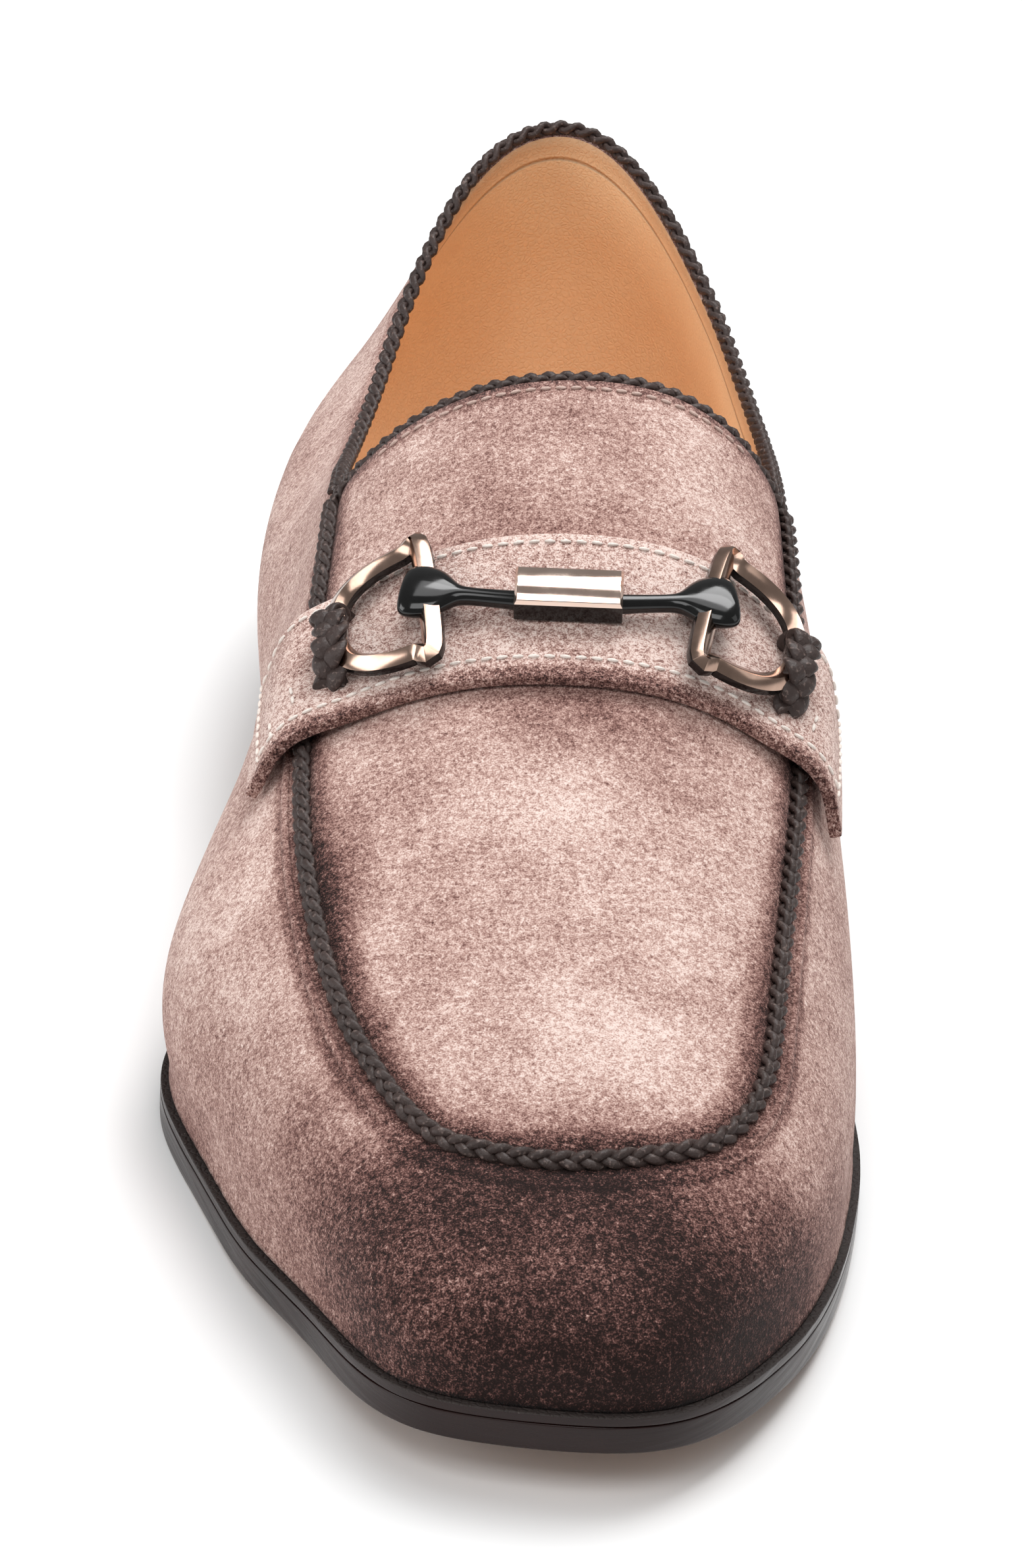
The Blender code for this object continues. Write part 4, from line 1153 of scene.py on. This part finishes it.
# across the ring's wire and up, from its underside round to its two upper facets
ring_profile = (
    (-0.0016, -0.0012),
    (0.0016, -0.0012),
    (0.0017, 0.0002),
    (0.0003, 0.0015),
    (-0.0017, 0.0002),
)
ring_wire = 0.0026
ring_frames = {}
for word in ("lateral", "medial"):
    node = "ring_" + word
    _, _, axes = own_frame(node)
    ring_up = axes[2] * math.copysign(1.0, axes[2][2])
    line = even_line(cord_line(node, ring_wire), 0.0008, True)
    _, side, up = directions(line, np.tile(ring_up, (len(line), 1)), True)
    ring = sweep("bit_ring_" + word, line, side, up, ring_profile, True)
    ring.data.materials.append(ring_metal)
    ring.data.materials.append(enamel)
    for face in ring.data.polygons:
        face.material_index = int(face.index % len(ring_profile) in (0, 1, 4))
    apply_modifier(
        ring,
        "BEVEL",
        width=0.00012,
        segments=2,
        limit_method="ANGLE",
        angle_limit=math.radians(25.0),
    )
    shade(ring, 22.0)
    settle(ring, "ring_metal", node)
    ring_frames[word] = (line, ring_up)


# Keepers
# Each ring is held on the strap by a short braid of dark leather that wraps its outer side and
# goes down through a slot in the strap, where a few cream stitches lock it.

keeper_half = 0.0070
keeper_drift = 0.0028
keeper_rise = 0.0020
keeper_seat = 0.0002
keeper_width = 0.0062
keeper_thong = (0.0030, 0.0014)
keeper_pitch = 0.0098
keeper_core = (0.0050, 0.0018)
keeper_core_depth = 0.0006
for word, sign in (("lateral", -1.0), ("medial", 1.0)):
    line, ring_up = ring_frames[word]
    node = "keeper_" + word
    low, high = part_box(node)
    middle = 0.5 * (np.array(low) + np.array(high))
    nearest = line[np.argmin(np.linalg.norm(line - middle, axis=1))]
    order = np.argsort(np.linalg.norm(line - nearest, axis=1))[:12]
    spread = line[order] - line[order].mean(0)
    way = np.linalg.svd(spread, full_matrices=False)[2][0]
    way *= math.copysign(1.0, way[1])
    outward = np.cross(way, ring_up)
    outward *= math.copysign(1.0, outward[0] * sign)
    path = []
    for k in range(25):
        t = 2.0 * k / 24 - 1.0
        drift = keeper_drift * max(-t, 0.0) ** 1.5
        over = nearest + way * t * keeper_half + outward * drift + ring_up * keeper_rise
        spot, normal, _, _ = strap_skin.find_nearest(Vector(over))
        low_spot = np.array(spot) + np.array(normal) * keeper_seat
        share = min(max((abs(t) - 0.45) / 0.5, 0.0), 1.0) ** 1.4
        path.append(Vector(over * (1.0 - share) + low_spot * share))
    fine = even_line(path, 0.0004, False)
    ups = np.tile(ring_up, (len(fine), 1))
    braid = plait(
        "keeper_plait_" + word, fine, ups, keeper_width, keeper_thong, keeper_pitch, False, 12
    )
    _, side, up = directions(fine, ups, False)
    core_line = fine - ring_up * keeper_core_depth
    core = sweep("keeper_core", core_line, side, up, oval(*keeper_core, 12), False)
    keeper = join([braid, core], "keeper_wrap_" + word)
    keeper.data.materials.clear()
    keeper.data.materials.append(thong_leather)
    shade(keeper, 80.0)
    settle(keeper, "keeper_leather", node)


# Floor, light and camera
# A white studio table under even soft light, with soft boxes above it, in front of it and at
# each side, seen by a long lens from in front and a little above.

bpy.ops.object.select_all(action="DESELECT")
bpy.ops.mesh.primitive_plane_add(size=6.0, location=(0.0, 0.6, 0.0))
floor = bpy.context.active_object
floor.name = "floor"
white, tree, shader = new_material("white_table", Roughness=0.9)
shader.inputs["Base Color"].default_value = (0.86, 0.86, 0.86, 1.0)
floor.data.materials.append(white)

world = bpy.data.worlds.new("studio")
bpy.context.scene.world = world
world.use_nodes = True
even_light = world.node_tree.nodes["Background"]
even_light.inputs["Color"].default_value = (1.0, 1.0, 1.0, 1.0)
even_light.inputs["Strength"].default_value = 0.26


def soft_box(name, place, aim, size, power):
    """A rectangular light that faces a point."""
    light = bpy.data.lights.new(name, "AREA")
    light.shape = "RECTANGLE"
    light.size, light.size_y = size
    light.energy = power
    lamp = bpy.data.objects.new(name, light)
    bpy.context.collection.objects.link(lamp)
    lamp.location = place
    lamp.rotation_euler = (Vector(aim) - Vector(place)).to_track_quat("-Z", "Y").to_euler()


soft_box("overhead", (0.25, 0.42, 1.05), (0.0, 0.02, 0.0), (0.7, 0.6), 9.5)
soft_box("above_the_bit", (0.08, 0.24, 1.30), (0.0, 0.0, 0.08), (0.9, 0.7), 5.0)
soft_box("front", (-0.15, -0.80, 1.15), (0.0, 0.02, 0.03), (0.9, 0.6), 6.0)
soft_box("left_side", (-1.1, -0.40, 0.45), (0.0, -0.02, 0.03), (0.7, 0.6), 5.5)
soft_box("right_side", (1.1, -0.45, 0.70), (0.0, -0.02, 0.03), (0.6, 0.9), 1.6)

elevation = math.radians(28.0)
turn = math.radians(0.55)
roll = math.radians(3.23)
distance = 0.7787
focal_pixels = 7546.0
frame_height = 2380.0
target = Vector((-0.00153, -0.01693, 0.040))
level_share = math.cos(elevation)
back_way = Vector(
    (math.sin(turn) * level_share, -math.cos(turn) * level_share, math.sin(elevation))
)
level_right = (-back_way).cross(Vector((0.0, 0.0, 1.0))).normalized()
level_up = level_right.cross(-back_way)
picture_right = level_right * math.cos(roll) + level_up * math.sin(roll)
picture_up = level_up * math.cos(roll) - level_right * math.sin(roll)
lens = bpy.data.cameras.new("camera")
lens.sensor_width = 36.0
lens.lens = focal_pixels / frame_height * lens.sensor_width
camera = bpy.data.objects.new("camera", lens)
bpy.context.collection.objects.link(camera)
camera.matrix_world = placement(target + back_way * distance, picture_right, picture_up, back_way)
bpy.context.scene.camera = camera
bpy.context.scene.view_settings.view_transform = "Standard"
